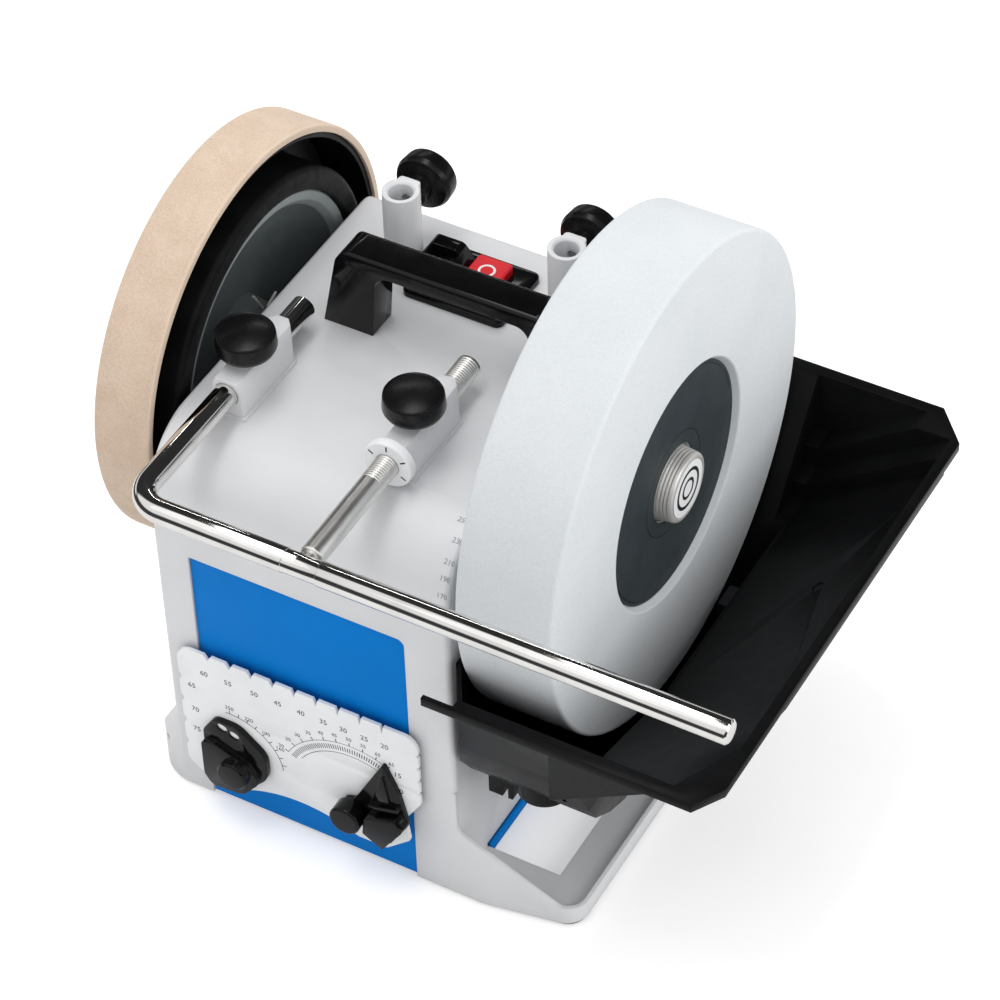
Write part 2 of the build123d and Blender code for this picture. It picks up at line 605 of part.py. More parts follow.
def make_support_bar():
    """The tool support: one bent bar whose left leg slides in the left sleeve."""
    x, z = FRONT_SLEEVE_X[0], FRONT_SLEEVE_Z
    path = FilletPolyline((x, LEG_REAR, z), (x, BAR_Y, z), (BAR_RIGHT, BAR_Y, z), radius=BEND_R)
    bar = sweep(Plane((x, LEG_REAR, z), z_dir=(0, -1, 0)) * Circle(ROD_R), path)
    ends = [edge for edge in bar.edges().filter_by(GeomType.CIRCLE)
            if edge.center().X > BAR_RIGHT - 0.1 or edge.center().Y > LEG_REAR - 0.1]
    bar = chamfer(ends, 1)
    seat = FRONT_SLEEVE_X[1]
    groove = rod_x(ROD_R + 1, seat - 9, seat + 9, BAR_Y, z)
    groove -= rod_x(ROD_R - 0.3, seat - 10, seat + 10, BAR_Y, z)
    return bar - groove - rod_y(4.2 + SEAT_GAP, BAR_Y, BAR_Y + 10, seat, z)


def make_support_threaded_leg():
    """The right leg, with a neck set into the bar and a thread for the fine adjuster."""
    x, z = FRONT_SLEEVE_X[1], FRONT_SLEEVE_Z
    leg = rod_y(ROD_R, BAR_Y + 6.5, LEG_REAR, x, z)
    leg = chamfer(leg.edges().filter_by(GeomType.CIRCLE), 0.8)
    return leg + rod_y(4.2, BAR_Y, BAR_Y + 8, x, z)


def make_micro_nut():
    """The fine adjuster: a flanged round nut that bears on the right sleeve."""
    x = FRONT_SLEEVE_X[1]
    y0 = FRONT_SLEEVE_Y[0] - 6.8
    nut = rod_y(12.5, y0, y0 + 5, x, FRONT_SLEEVE_Z)
    nut = chamfer(nut.edges().filter_by(GeomType.CIRCLE), 0.7)
    return nut - rod_y(ROD_R + RUNNING_GAP, y0 - 1, y0 + 6, x, FRONT_SLEEVE_Z)


def lock_knob(neck=0.0):
    """A round knob standing on z = 0, with a domed face, a ring pressed into it and a neck below."""
    r, h = KNOB_R, KNOB_HEIGHT
    bore = LOCK_SCREW_R + SEAT_GAP
    profile = outline([(bore, 0), (8, 0), (r - 1.6, 1.8), (r - 0.1, 4.5), (r - 0.7, h), (0, h),
                       (0, KNOB_SOCKET), (bore, KNOB_SOCKET)],
                      [0, 0, 0, 0, 1.2, 0, 0, 0])
    knob = revolve(Plane.XZ * profile, Axis.Z)
    knob &= Pos(0, 0, h - KNOB_DOME_R) * Sphere(KNOB_DOME_R)
    ring = Cylinder(10.6, 1.6) - Cylinder(9.8, 2)
    knob -= Pos(0, 0, h - 1.2) * ring
    if neck:
        knob += Pos(0, 0, -neck / 2) * (Cylinder(7, neck) - Cylinder(bore, neck))
    return knob


def lock_screw(length):
    """The screw in a lock knob, its tip on z = 0."""
    screw = Cylinder(LOCK_SCREW_R, length, align=(Align.CENTER, Align.CENTER, Align.MIN))
    return chamfer(screw.edges().group_by(Axis.Z)[0], 0.6)


def front_lock(x, shape, z):
    """Sets a lock piece upright over a front sleeve."""
    return Pos(x, FRONT_KNOB_Y, z) * shape


def rear_lock(x, shape, y):
    """Lays a lock piece along y behind a rear sleeve."""
    return Pos(x, y, REAR_KNOB_Z) * Rot(-90, 0, 0) * shape


def sloped_shelf(top, lift):
    """The side view of the shelf from the well's edge up to the right, raised by a step's height."""
    ledge = SHELF_LOW + lift
    right_end = ledge + (TROUGH_RIGHT - WELL_EDGE) * SHELF_SLOPE
    points = [(SHELF_START, top), (SHELF_START, ledge), (WELL_EDGE, ledge)]
    if right_end < top:
        points += [(TROUGH_RIGHT, right_end), (TROUGH_RIGHT, top)]
    else:
        points += [(WELL_EDGE + (top - ledge) / SHELF_SLOPE, top)]
    return make_face(Polyline(*points, close=True))


def front_facet(depth):
    """All that lies below the facet which rises from the shelf to the front rim."""
    plane = Plane(origin=(13.7, -40.6, -99.0), z_dir=(-0.511, 0.238, 0.826))
    below = plane * Pos(0, 0, -150 - depth) * Box(600, 600, 300)
    return below & block(SHELF_START - 2, 200, -300, 200, -300, 100)


def trough_walls(top, inset):
    """The trough as a full body: a well for the stone and a sloping shelf with steps behind."""
    rise = top - TROUGH_RIM
    ends = make_face(Polyline((TROUGH_FRONT - rise * 0.25, top), *WELL_FRONT, (-70, TROUGH_BOTTOM),
                              (60, TROUGH_BOTTOM), (138 + rise * 0.72, top), close=True))
    sides = make_face(Polyline((TROUGH_LEFT, top), (TROUGH_LEFT, TROUGH_BOTTOM), (8, TROUGH_BOTTOM),
                               (WELL_EDGE, SHELF_LOW), (WELL_EDGE, top), close=True))
    plan = make_face(Polyline((CORNER[0], -200), (CORNER[0], TROUGH_FRONT), (TROUGH_LEFT, CORNER[1]),
                              (TROUGH_LEFT, 200), (60, 200), (60, -200), close=True))
    well = prism_x(offset(ends, -inset, kind=Kind.INTERSECTION), -100, 120)
    well &= prism_y(offset(sides, -inset, kind=Kind.INTERSECTION), -200, 200)
    well &= prism_z(offset(plan, -inset, kind=Kind.INTERSECTION), -200, 100)
    shelf = Part()
    for lift, rear in SHELF_STEPS:
        field = offset(sloped_shelf(top, lift), -inset, kind=Kind.INTERSECTION)
        shelf += prism_y(field, TROUGH_FRONT + inset, rear - inset)
    return well + (shelf - front_facet(TROUGH_WALL - inset))


def lip_plan(inset):
    """The outline of the trough's rim, with cut corners."""
    corners = [(CORNER[0] - 1, LIP_FRONT), (79.5, LIP_FRONT), (LIP_RIGHT, -128), (LIP_RIGHT, 124), (72, LIP_REAR),
               (TROUGH_LEFT, LIP_REAR), (TROUGH_LEFT, CORNER[1]), (CORNER[0] - 1, TROUGH_FRONT + 1.7)]
    return offset(outline(corners), -inset, kind=Kind.INTERSECTION)


def make_trough():
    """The water trough: a well for the stone, a draining shelf and a turned-down rim."""
    cavity = trough_walls(TROUGH_RIM + 20, TROUGH_WALL)
    tub = trough_walls(TROUGH_RIM, 0)
    slot = block(2, 4.2, -145, -110, -100, -74) & (tub - trough_walls(TROUGH_RIM, 1.4))
    sump = rod_z(13.5, -121, -92, -19, -100)
    lug = block(-47, -34, -105, -97, -134, -112) - block(-39.5, -36.5, -106, -96, -135, -127)
    plate = prism_z(lip_plan(0), TROUGH_RIM - 3, TROUGH_RIM)
    edge = prism_z(lip_plan(0), TROUGH_RIM - LIP_HEIGHT, TROUGH_RIM)
    edge -= prism_z(lip_plan(TROUGH_WALL), TROUGH_RIM - LIP_HEIGHT - 1, TROUGH_RIM + 1)
    edge += block(-58.5, CORNER[0], LIP_FRONT, LIP_FRONT + TROUGH_WALL, TROUGH_RIM - LIP_HEIGHT, TROUGH_RIM)
    body = tub - slot + sump + lug + plate + edge - cavity
    return body - Plane(origin=(58, 31, -66.5), z_dir=(-SHELF_SLOPE, 0, 1)) * Cylinder(3.2, 4)


def make_trough_magnet():
    """The magnet on the well's wall that collects steel dust."""
    cavity = trough_walls(TROUGH_RIM + 20, TROUGH_WALL)
    return block(6, 16, 31, 45, -114, -104) & cavity


def make_trough_hooks():
    """Two hooks on the trough that ride in upright slots of the cabinet."""
    hooks = []
    for y in HOOK_Y:
        z0, z1 = HOOK_Z
        plate = block(CASE_RIGHT + 0.7, TROUGH_LEFT, y - 7, y + 7, z0, z1 + 26)
        neck = block(CASE_RIGHT - CASE_WALL - 1, CASE_RIGHT + 1, y - 4, y + 4, z0 + 2, z1 - 2)
        head = block(CASE_RIGHT - CASE_WALL - 4, CASE_RIGHT - CASE_WALL - 0.7, y - 9, y + 9, z0, z1)
        hooks.append(plate + neck + head)
    return hooks


def make_gauge_plate():
    """The angle gauge: a plate with notches to try edges in, round two scales."""
    left, right, top = GAUGE_LEFT, GAUGE_RIGHT, GAUGE_TOP
    corners = [(left, top), (right, top), (right, -142), (-84, -157), (-82, -172), (-96, -185), (-112, -185),
               (-146, -169.5), (-178, -186), (-192, -192), (left, -178)]
    body = prism_y(outline(corners, [9, 8, 3, 3, 3, 4, 5, 70, 4, 5, 6]), GAUGE_FRONT, GAUGE_BACK)
    for step in range(9):
        x = -192.2 + 12.2 * step
        half = 2.3 - 0.18 * step
        tip = (x, top - 3.2 - 0.25 * step)
        notch = make_face(Polyline((x - half, top + 0.5), (x + half, top + 0.5), tip, close=True))
        body -= prism_y(notch, GAUGE_FRONT - 1, GAUGE_BACK + 1)
    for step in range(4):
        body -= rod_y(3.2, GAUGE_FRONT - 1, GAUGE_BACK + 1, left - 1.8, -118 - 15.7 * step)
        body -= rod_y(1.1, GAUGE_FRONT - 1, GAUGE_BACK + 1, right, -108 - 9 * step)
    for x, z in (DIAL_AT, POINTER_AT):
        body -= rod_y(3 + RUNNING_GAP, GAUGE_FRONT - 1, GAUGE_BACK + 1, x, z)
    return body


def make_gauge_magnets():
    """Two disc magnets that hold the gauge to the sheet."""
    places = ((-150, -125), (-105, -125))
    return [rod_y(8, GAUGE_BACK, CASE_FRONT + 1, x, z) for x, z in places]


def make_gauge_dial():
    """The dial for the stone's diameter: a D-shaped leaf with two windows, a raised half and a knob."""
    face = GAUGE_FRONT - 3.2
    leaf = outline([(-14.7, -15.4), (-14.7, 13.9), (-7.9, 24.3), (5.7, 24.3), (21.2, 10.5), (21.2, -5),
                    (7.6, -20.6), (-10.6, -22.3)], [6, 7, 6, 11, 11, 12, 9, 6])
    raised = outline([(-14.7, -15.4), (-14.7, 7.9), (-7.9, 9.6), (11.2, 1.9), (18.4, -6.8), (7.6, -20.6),
                      (-10.6, -22.3)], [6, 2.6, 2.6, 2.6, 5, 9, 6])
    body = prism_y(leaf, face, GAUGE_FRONT - 0.2) + prism_y(raised, face - 3, face + 1)
    body += rod_y(8.4, face - 8, face, 4.6, -4.4)
    body = chamfer(body.faces().filter_by(Axis.Y).sort_by(Axis.Y)[0].edges(), 1)
    for dx, dz in ((-3.3, 20.0), (3.4, 17.7)):
        window = Pos(dx, dz) * Rot(0, 0, -20) * SlotOverall(6.2, 4.6)
        body -= prism_y(window, face - 1, GAUGE_FRONT)
    return Pos(DIAL_AT[0], 0, DIAL_AT[1]) * (body + rod_y(3, GAUGE_FRONT - 1, GAUGE_BACK, 0, 0))


def make_gauge_pointer():
    """The pointer that shows the honing angle, with a block to lay a tool against."""
    face = GAUGE_FRONT - 3.2
    leaf = outline([(-6, -7), (6, -9), (20, -15), (31, 4), (26.5, 24), (18.6, 42), (1, 8), (-6, 5)],
                   [5, 2, 2, 3, 12, 1.2, 4, 4])
    body = prism_y(leaf, face, GAUGE_FRONT - 0.2)
    thumb = outline([(8.8, -6), (19.5, -12.5), (31.5, 6), (27, 11), (10, 5)], 1.2)
    body += prism_y(thumb, face - 6.5, face + 1)
    body += prism_y(outline([(9.5, 8.5), (27.5, 13.5), (27, 16.5), (10.5, 11.5)], 1), face - 3, face + 1)
    body += prism_y(outline([(13, 15), (22, 17.5), (18.8, 36)], 0.6), face - 1.5, face + 1)
    return Pos(POINTER_AT[0], 0, POINTER_AT[1]) * (body + rod_y(3, GAUGE_FRONT - 1, GAUGE_BACK, 0, 0))


def make_pointer_knob():
    """The round knob that locks the pointer."""
    knob = rod_y(8.4, GAUGE_FRONT - 12.5, GAUGE_FRONT - 3.2, *POINTER_AT)
    return fillet(knob.edges().group_by(Axis.Y)[0], 1.5)


PIECES = {
    "cast_top": make_cast_top(),
    "cabinet": make_cabinet(),
    "blue_wrap": make_blue_wrap(),
    "cable_gland": make_cable_gland(),
    "rubber_feet": make_rubber_feet(),
    "casing_screws": make_casing_screws(),
    "carry_handle": make_carry_handle(),
    "handle_bolts": make_handle_bolts(),
    "switch_housing": make_switch_housing(),
    "stop_button": make_button(STOP_BUTTON, STOP_TOP),
    "start_button": make_button(START_BUTTON, START_TOP),
    "bush_left": make_bush(CASE_LEFT + 16, CASE_LEFT),
    "bush_right": make_bush(CASE_RIGHT - 16, CASE_RIGHT),
    "main_shaft": make_main_shaft(),
    "stone": make_stone(),
    "stone_label": ring_x(LABEL_R, 20, -4.3, -3.3),
    "stone_inner_flange": make_stone_inner_flange(),
    "stone_outer_washer": ring_x(18.5, SHAFT_R + SEAT_GAP, -10.3, -8.3),
    "stone_nut": make_stone_nut(),
    "drive_wheel": make_drive_wheel(),
    "drive_rubber": make_drive_rubber(),
    "hone_cup": make_hone_cup(),
    "leather_tread": make_leather_tread(),
    "hone_knob": make_hone_knob(),
    "motor_stator": make_motor_stator(),
    "motor_windings": make_motor_windings(),
    "motor_bell_drive": make_motor_bell(-190, -208),
    "motor_bell_rear": make_motor_bell(-120, -102),
    "motor_bearings": make_motor_bearings(),
    "motor_bracket": make_motor_bracket(),
    "motor_spring": make_motor_spring(),
    "motor_hinge_rod": rod_x(HINGE_R, CASE_LEFT + 0.5, CASE_RIGHT - 0.5, HINGE_Y, HINGE_Z),
    "motor_shaft": make_motor_shaft(),
    "rotor_core": make_rotor_core(),
    "cooling_fan": make_cooling_fan(),
    "support_bar": make_support_bar(),
    "support_threaded_leg": make_support_threaded_leg(),
    "micro_nut": make_micro_nut(),
    "trough": make_trough(),
    "trough_magnet": make_trough_magnet(),
    "trough_hooks": make_trough_hooks(),
    "gauge_plate": make_gauge_plate(),
    "gauge_magnets": make_gauge_magnets(),
    "gauge_dial": make_gauge_dial(),
    "gauge_pointer": make_gauge_pointer(),
    "pointer_knob": make_pointer_knob(),
}

for side, x_front, x_rear in zip(("left", "right"), FRONT_SLEEVE_X, REAR_SLEEVE_X):
    front_base = FRONT_BOSS_TOP + KNOB_GAP
    rear_base = REAR_BOSS_Y + KNOB_GAP + REAR_NECK
    front_tip, rear_tip = FRONT_SLEEVE_Z + ROD_R + 0.3, REAR_SLEEVE_Y + ROD_R + 0.4
    front_screw = lock_screw(front_base + KNOB_SOCKET - 0.1 - front_tip)
    rear_screw = lock_screw(rear_base + KNOB_SOCKET - 0.1 - rear_tip)
    PIECES[f"lock_knob_front_{side}"] = front_lock(x_front, lock_knob(), front_base)
    PIECES[f"lock_screw_front_{side}"] = front_lock(x_front, front_screw, front_tip)
    PIECES[f"lock_knob_rear_{side}"] = rear_lock(x_rear, lock_knob(REAR_NECK), rear_base)
    PIECES[f"lock_screw_rear_{side}"] = rear_lock(x_rear, rear_screw, rear_tip)

os.makedirs("parts", exist_ok=True)
for name, piece in PIECES.items():
    solids = piece if isinstance(piece, list) else [piece]
    placed = [Pos(*ORIGIN_SHIFT) * solid for solid in solids]
    export_step(placed[0] if len(placed) == 1 else Compound(children=placed), f"parts/{name}.step")
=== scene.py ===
"""The looks of a wet sharpening machine: its finishes, its turned and printed pieces and a studio stage."""

import json
import math

import bpy
from mathutils import Matrix, Vector

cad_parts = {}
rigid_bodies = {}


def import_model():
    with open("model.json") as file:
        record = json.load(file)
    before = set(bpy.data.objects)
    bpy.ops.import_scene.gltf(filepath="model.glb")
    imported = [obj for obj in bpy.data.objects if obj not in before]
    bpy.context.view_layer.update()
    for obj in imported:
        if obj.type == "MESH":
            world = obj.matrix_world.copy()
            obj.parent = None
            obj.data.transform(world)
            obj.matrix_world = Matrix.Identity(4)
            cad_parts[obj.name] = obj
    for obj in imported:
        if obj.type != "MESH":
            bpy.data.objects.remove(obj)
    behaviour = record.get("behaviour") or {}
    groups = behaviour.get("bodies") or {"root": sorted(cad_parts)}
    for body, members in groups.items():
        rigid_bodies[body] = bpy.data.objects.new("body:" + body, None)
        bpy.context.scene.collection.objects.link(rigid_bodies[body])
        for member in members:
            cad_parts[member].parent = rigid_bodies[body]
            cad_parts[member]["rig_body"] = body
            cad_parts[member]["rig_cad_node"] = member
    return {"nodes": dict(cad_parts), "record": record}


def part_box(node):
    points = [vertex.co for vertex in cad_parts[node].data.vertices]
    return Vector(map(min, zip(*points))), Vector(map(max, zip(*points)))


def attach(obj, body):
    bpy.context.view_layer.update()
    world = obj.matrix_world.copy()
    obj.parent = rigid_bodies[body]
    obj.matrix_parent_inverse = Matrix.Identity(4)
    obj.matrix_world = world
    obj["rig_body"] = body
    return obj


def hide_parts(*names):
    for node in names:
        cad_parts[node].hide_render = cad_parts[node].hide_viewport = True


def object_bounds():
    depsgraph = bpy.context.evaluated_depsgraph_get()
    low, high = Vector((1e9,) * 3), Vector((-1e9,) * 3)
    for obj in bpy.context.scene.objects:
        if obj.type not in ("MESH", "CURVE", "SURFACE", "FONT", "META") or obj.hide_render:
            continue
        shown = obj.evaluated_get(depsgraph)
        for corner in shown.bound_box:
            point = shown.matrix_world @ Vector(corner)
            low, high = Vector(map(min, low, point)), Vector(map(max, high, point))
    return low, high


bl_info = {
    "name": "Wet Sharpening Machine",
    "version": (1, 0, 0),
    "blender": (4, 5, 0),
    "location": "3D View > Sidebar > Grinder",
    "description": "Finishes and fine pieces of a bench wet grinder with a honing wheel",
    "category": "Object",
}

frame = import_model()
CAD_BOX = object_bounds()

MM = 0.001
ALONG_X = Vector((1, 0, 0))
ALONG_Y = Vector((0, 1, 0))
ALONG_Z = Vector((0, 0, 1))
STONE_LOW, STONE_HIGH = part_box("stone")
SHAFT = Vector((STONE_HIGH.x, (STONE_LOW.y + STONE_HIGH.y) / 2, (STONE_LOW.z + STONE_HIGH.z) / 2))

# Sizes in mm, and places in mm from the shaft's axis and the stone's outer face
STONE_WIDTH = (STONE_HIGH.x - STONE_LOW.x) / MM
STONE_RADIUS = (STONE_HIGH.z - STONE_LOW.z) / 2 / MM
STONE_BORE = 6.3
NUT_RECESS = -10.3
LABEL_SEAT = -4.3
LABEL_FACE = -3.3
LABEL_BORE = 20.0
LABEL_RADIUS = 61.2
NUT_BORE = 6.05
NUT_CREST = 18.4
NUT_FACE = 4.3
CUP_RADIUS = 103.52
DISH_RADIUS = 66.2
ROD_RADIUS = 6.0
ADJUSTER_BORE = 6.06
ADJUSTER_RADIUS = 12.5
ADJUSTER_WIDTH = 5.0
KNOB_DOME = 48.0
GAUGE_FACE = -122.5
DIAL_AT = (-182.0, -161.0)
POINTER_AT = (-112.0, -162.0)
CASING_CURVE = (-82.0, -7.0)
CASING_CURVE_RADIUS = 36.0
PRINT_DEPTH = 0.05
PRINT_LIFT = 0.02
BOX_MARGIN = 0.001
WELD = 0.008
FINE_WELD = 0.004

# Edges that turn by fewer degrees than this are smooth
CREASE = 32.0

# The photograph's viewpoint, in metres and radians
CAMERA_PLACE = (0.647822, -1.125663, 1.438595)
CAMERA_HEADING = 0.5302353
CAMERA_DIP = 0.7732298
CAMERA_ROLL = -0.0323176

# Tones, gloss, patches and grains to the metre, and the depth of the grain and the soft edge in mm
UNCHANGED = (1.0, 1.0, 1.0)
PLAIN_FINISHES = {
    "black_plastic": dict(dark=(0.0026, 0.0026, 0.0030), light=(0.0040, 0.0040, 0.0046), rough=(0.10, 0.15),
                          patch=50, grain=1700, strength=0.03, depth=0.05, edge=0.5, specular=0.22),
    "knob_black": dict(dark=(0.0040, 0.0040, 0.0045), light=(0.0060, 0.0060, 0.0066), rough=(0.24, 0.32),
                       patch=50, grain=1700, strength=0.04, depth=0.06, edge=0.6, specular=0.22),
    "trough_black": dict(dark=(0.0040, 0.0042, 0.0046), light=(0.0056, 0.0058, 0.0063), rough=(0.28, 0.34),
                         patch=50, grain=1400, strength=0.015, depth=0.04, edge=0.5, specular=0.075),
    "rubber": dict(dark=(0.0045, 0.0047, 0.0051), light=(0.0080, 0.0083, 0.0090), rough=(0.45, 0.6),
                   patch=70, grain=1200, strength=0.2, depth=0.15, edge=0.6, specular=0.12),
    "label": dict(dark=(0.036, 0.045, 0.049), light=(0.043, 0.053, 0.058), rough=(0.42, 0.52),
                  patch=40, grain=2200, strength=0.05, depth=0.05, edge=0.2, specular=0.08),
    "pale_alloy": dict(dark=(0.66, 0.65, 0.625), light=(0.74, 0.73, 0.705), rough=(0.38, 0.48),
                       patch=60, grain=1500, strength=0.08, depth=0.06, edge=0.3, metallic=0.5),
    "white_plastic": dict(dark=(0.80, 0.81, 0.82), light=(0.84, 0.85, 0.86), rough=(0.32, 0.42),
                          patch=40, grain=1600, strength=0.05, depth=0.06, edge=0.3, specular=0.3),
    "red_plastic": dict(dark=(0.60, 0.010, 0.018), light=(0.68, 0.014, 0.024), rough=(0.28, 0.38),
                        patch=60, grain=1600, strength=0.06, depth=0.06, edge=0.5, specular=0.3),
    "green_plastic": dict(dark=(0.02, 0.26, 0.06), light=(0.025, 0.32, 0.08), rough=(0.28, 0.38),
                          patch=60, grain=1600, strength=0.06, depth=0.06, edge=0.5, specular=0.3),
}
STEEL_FINISHES = {
    "bright_steel": dict(tone=(0.82, 0.81, 0.79), rough=(0.05, 0.10), stretch=(40, 40, 900)),
    "plain_steel": dict(tone=(0.55, 0.55, 0.56), rough=(0.28, 0.42), stretch=(300, 300, 300)),
    "nickel": dict(tone=(0.80, 0.79, 0.765), rough=(0.30, 0.40), stretch=(900, 60, 60)),
    "copper": dict(tone=(0.72, 0.33, 0.17), rough=(0.3, 0.42), stretch=(200, 900, 900)),
    "core_steel": dict(tone=(0.30, 0.30, 0.31), rough=(0.4, 0.55), stretch=(2200, 40, 40)),
    "magnet": dict(tone=(0.05, 0.05, 0.055), rough=(0.4, 0.55), stretch=(300, 300, 300)),
}


def spot(x, y, z):
    """A place given in mm from the shaft's axis and the stone's outer face, in the frame's metres."""
    return SHAFT + Vector((x, y, z)) * MM


# Nodes of the finishes


def put(tree, value, socket):
    """Sets a socket to a value, or links it to another socket."""
    if isinstance(value, bpy.types.NodeSocket):
        tree.links.new(value, socket)
    else:
        socket.default_value = value


def node(tree, kind, inputs, **settings):
    """A shader node with its inputs set to a value or linked to a socket."""
    made = tree.nodes.new(kind)
    for name, value in settings.items():
        setattr(made, name, value)
    for name, value in inputs.items():
        put(tree, value, made.inputs[name])
    return made


def new_finish(name):
    """A new material with its node tree, shader and the coordinates of the piece."""
    finish = bpy.data.materials.new("grinder_" + name)
    finish.use_nodes = True
    tree = finish.node_tree
    place = node(tree, "ShaderNodeTexCoord", {}).outputs["Object"]
    return finish, tree, tree.nodes["Principled BSDF"], place


def shade(tone, amount):
    """A tone made darker or lighter."""
    return tuple(c * amount for c in tone)


def noise(tree, place, scale, detail=3.0, roughness=0.55):
    """An even noise of so many grains to the metre."""
    settings = {"Vector": place, "Scale": scale, "Detail": detail, "Roughness": roughness}
    return node(tree, "ShaderNodeTexNoise", settings).outputs["Fac"]


def cells(tree, place, scale):
    """A pattern of round grains, so many to the metre."""
    return node(tree, "ShaderNodeTexVoronoi", {"Vector": place, "Scale": scale}).outputs["Distance"]


def mottle(tree, pattern, dark, light, low=0.35, high=0.65):
    """A colour that wanders between two tones with the pattern."""
    ramp = node(tree, "ShaderNodeValToRGB", {"Fac": pattern})
    for element, place, tone in zip(ramp.color_ramp.elements, (low, high), (dark, light)):
        element.position = place
        element.color = (*tone, 1.0)
    return ramp.outputs["Color"]


def ease(tree, value, low, high, first=0.0, last=1.0, smooth=False):
    """A number that goes from the first to the last value while another goes from low to high."""
    settings = {"Value": value, "From Min": low, "From Max": high, "To Min": first, "To Max": last}
    kind = "SMOOTHSTEP" if smooth else "LINEAR"
    return node(tree, "ShaderNodeMapRange", settings, interpolation_type=kind).outputs["Result"]


def spread(tree, pattern, low, high):
    """A number that wanders between two values with the pattern."""
    return ease(tree, pattern, 0.3, 0.7, low, high)


def calculate(tree, operation, *values):
    """The result of an operation on one or two numbers."""
    return node(tree, "ShaderNodeMath", dict(enumerate(values)), operation=operation).outputs["Value"]


def length_of(tree, vector):
    """How far a place lies from the origin."""
    return node(tree, "ShaderNodeVectorMath", {0: vector}, operation="LENGTH").outputs["Value"]


def blend_colours(tree, amount, first, second, mode="MIX"):
    """Two colours laid over each other."""
    inputs = {0: amount, 6: first, 7: second}
    return node(tree, "ShaderNodeMix", inputs, data_type="RGBA", blend_type=mode).outputs[2]


def surface(tree, height, strength, depth, edge):
    """The normal of a grained surface whose edges are softened by so many mm."""
    soft = node(tree, "ShaderNodeBevel", {"Radius": edge * MM}, samples=6).outputs["Normal"]
    settings = {"Height": height, "Strength": strength, "Distance": depth * MM, "Normal": soft}
    return node(tree, "ShaderNodeBump", settings).outputs["Normal"]


def connect(tree, shader, **inputs):
    """Sets or links the shader's inputs, with spaces written as underscores."""
    for name, value in inputs.items():
        put(tree, value, shader.inputs[name.replace("_", " ")])


# Finishes


def plain_finish(name, dark, light, rough, patch, grain, strength, depth, edge, metallic=0.0, specular=0.5):
    """Paint or moulded plastic: a faint change of tone, an uneven gloss and a fine grain."""
    finish, tree, shader, place = new_finish(name)
    broad = noise(tree, place, patch, 4.0)
    fine = noise(tree, place, grain, 2.0)
    connect(tree, shader, Base_Color=mottle(tree, broad, dark, light),
            Roughness=spread(tree, noise(tree, place, patch * 3, 5.0), *rough),
            Normal=surface(tree, fine, strength, depth, edge), Metallic=metallic, Specular_IOR_Level=specular)
    return finish


def steel_finish(name, tone, rough, stretch):
    """Bright or turned metal with fine marks drawn out along the piece."""
    finish, tree, shader, place = new_finish(name)
    drawn = node(tree, "ShaderNodeMapping", {"Vector": place, "Scale": stretch}).outputs["Vector"]
    lines = noise(tree, drawn, 1.0, 3.0)
    connect(tree, shader, Base_Color=mottle(tree, noise(tree, place, 60.0), shade(tone, 0.9), tone),
            Roughness=spread(tree, lines, *rough), Normal=surface(tree, lines, 0.05, 0.03, 0.3), Metallic=1.0)
    return finish


def stone_finish(name):
    """The stone: pale grit with fine dark and light grains."""
    props = bpy.context.scene.grinder_stone
    light = tuple(props.colour)
    finish, tree, shader, place = new_finish(name)
    grit = mottle(tree, noise(tree, place, props.grit, 3.0, 0.6), shade(light, 0.92), light, 0.40, 0.56)
    clumps = noise(tree, place, props.grit * 0.3, 3.0, 0.7)
    coarse = mottle(tree, clumps, (0.965, 0.967, 0.97), UNCHANGED, 0.38, 0.52)
    cloud = mottle(tree, noise(tree, place, 22.0, 5.0), (0.95, 0.955, 0.96), UNCHANGED)
    speckled = blend_colours(tree, 1.0, grit, coarse, "MULTIPLY")
    grains = cells(tree, place, props.grit * 0.6)
    connect(tree, shader, Base_Color=blend_colours(tree, 1.0, speckled, cloud, "MULTIPLY"), Roughness=0.92,
            Normal=surface(tree, grains, 0.2, 0.2, 0.4), Specular_IOR_Level=0.2)
    return finish


def leather_finish(name):
    """The leather band: a napped tan hide with cloudy patches and pale cut edges."""
    light = tuple(bpy.context.scene.grinder_honing.leather_colour)
    dark = tuple(c * k for c, k in zip(light, (0.94, 0.92, 0.90)))
    pale = tuple(min(1.0, c * 1.12) for c in light)
    finish, tree, shader, place = new_finish(name)
    cloud = mottle(tree, noise(tree, place, 70.0, 6.0, 0.68), dark, light, 0.40, 0.60)
    nap = mottle(tree, noise(tree, place, 1000.0, 3.0, 0.7), (0.88, 0.86, 0.84), UNCHANGED, 0.36, 0.58)
    hide = blend_colours(tree, 1.0, cloud, nap, "MULTIPLY")
    along = node(tree, "ShaderNodeSeparateXYZ", {"Vector": place}).outputs["X"]
    low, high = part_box("leather_tread")
    half = (high.x - low.x) / 2
    aside = calculate(tree, "ABSOLUTE", calculate(tree, "SUBTRACT", along, (low.x + high.x) / 2))
    cut = ease(tree, aside, half - 1.1 * MM, half - 0.6 * MM, 0.0, 0.6)
    connect(tree, shader, Base_Color=blend_colours(tree, cut, hide, (*pale, 1.0)), Roughness=0.85,
            Normal=surface(tree, cells(tree, place, 900.0), 0.25, 0.3, 0.5), Specular_IOR_Level=0.2,
            Sheen_Weight=0.1, Sheen_Roughness=0.5)
    return finish


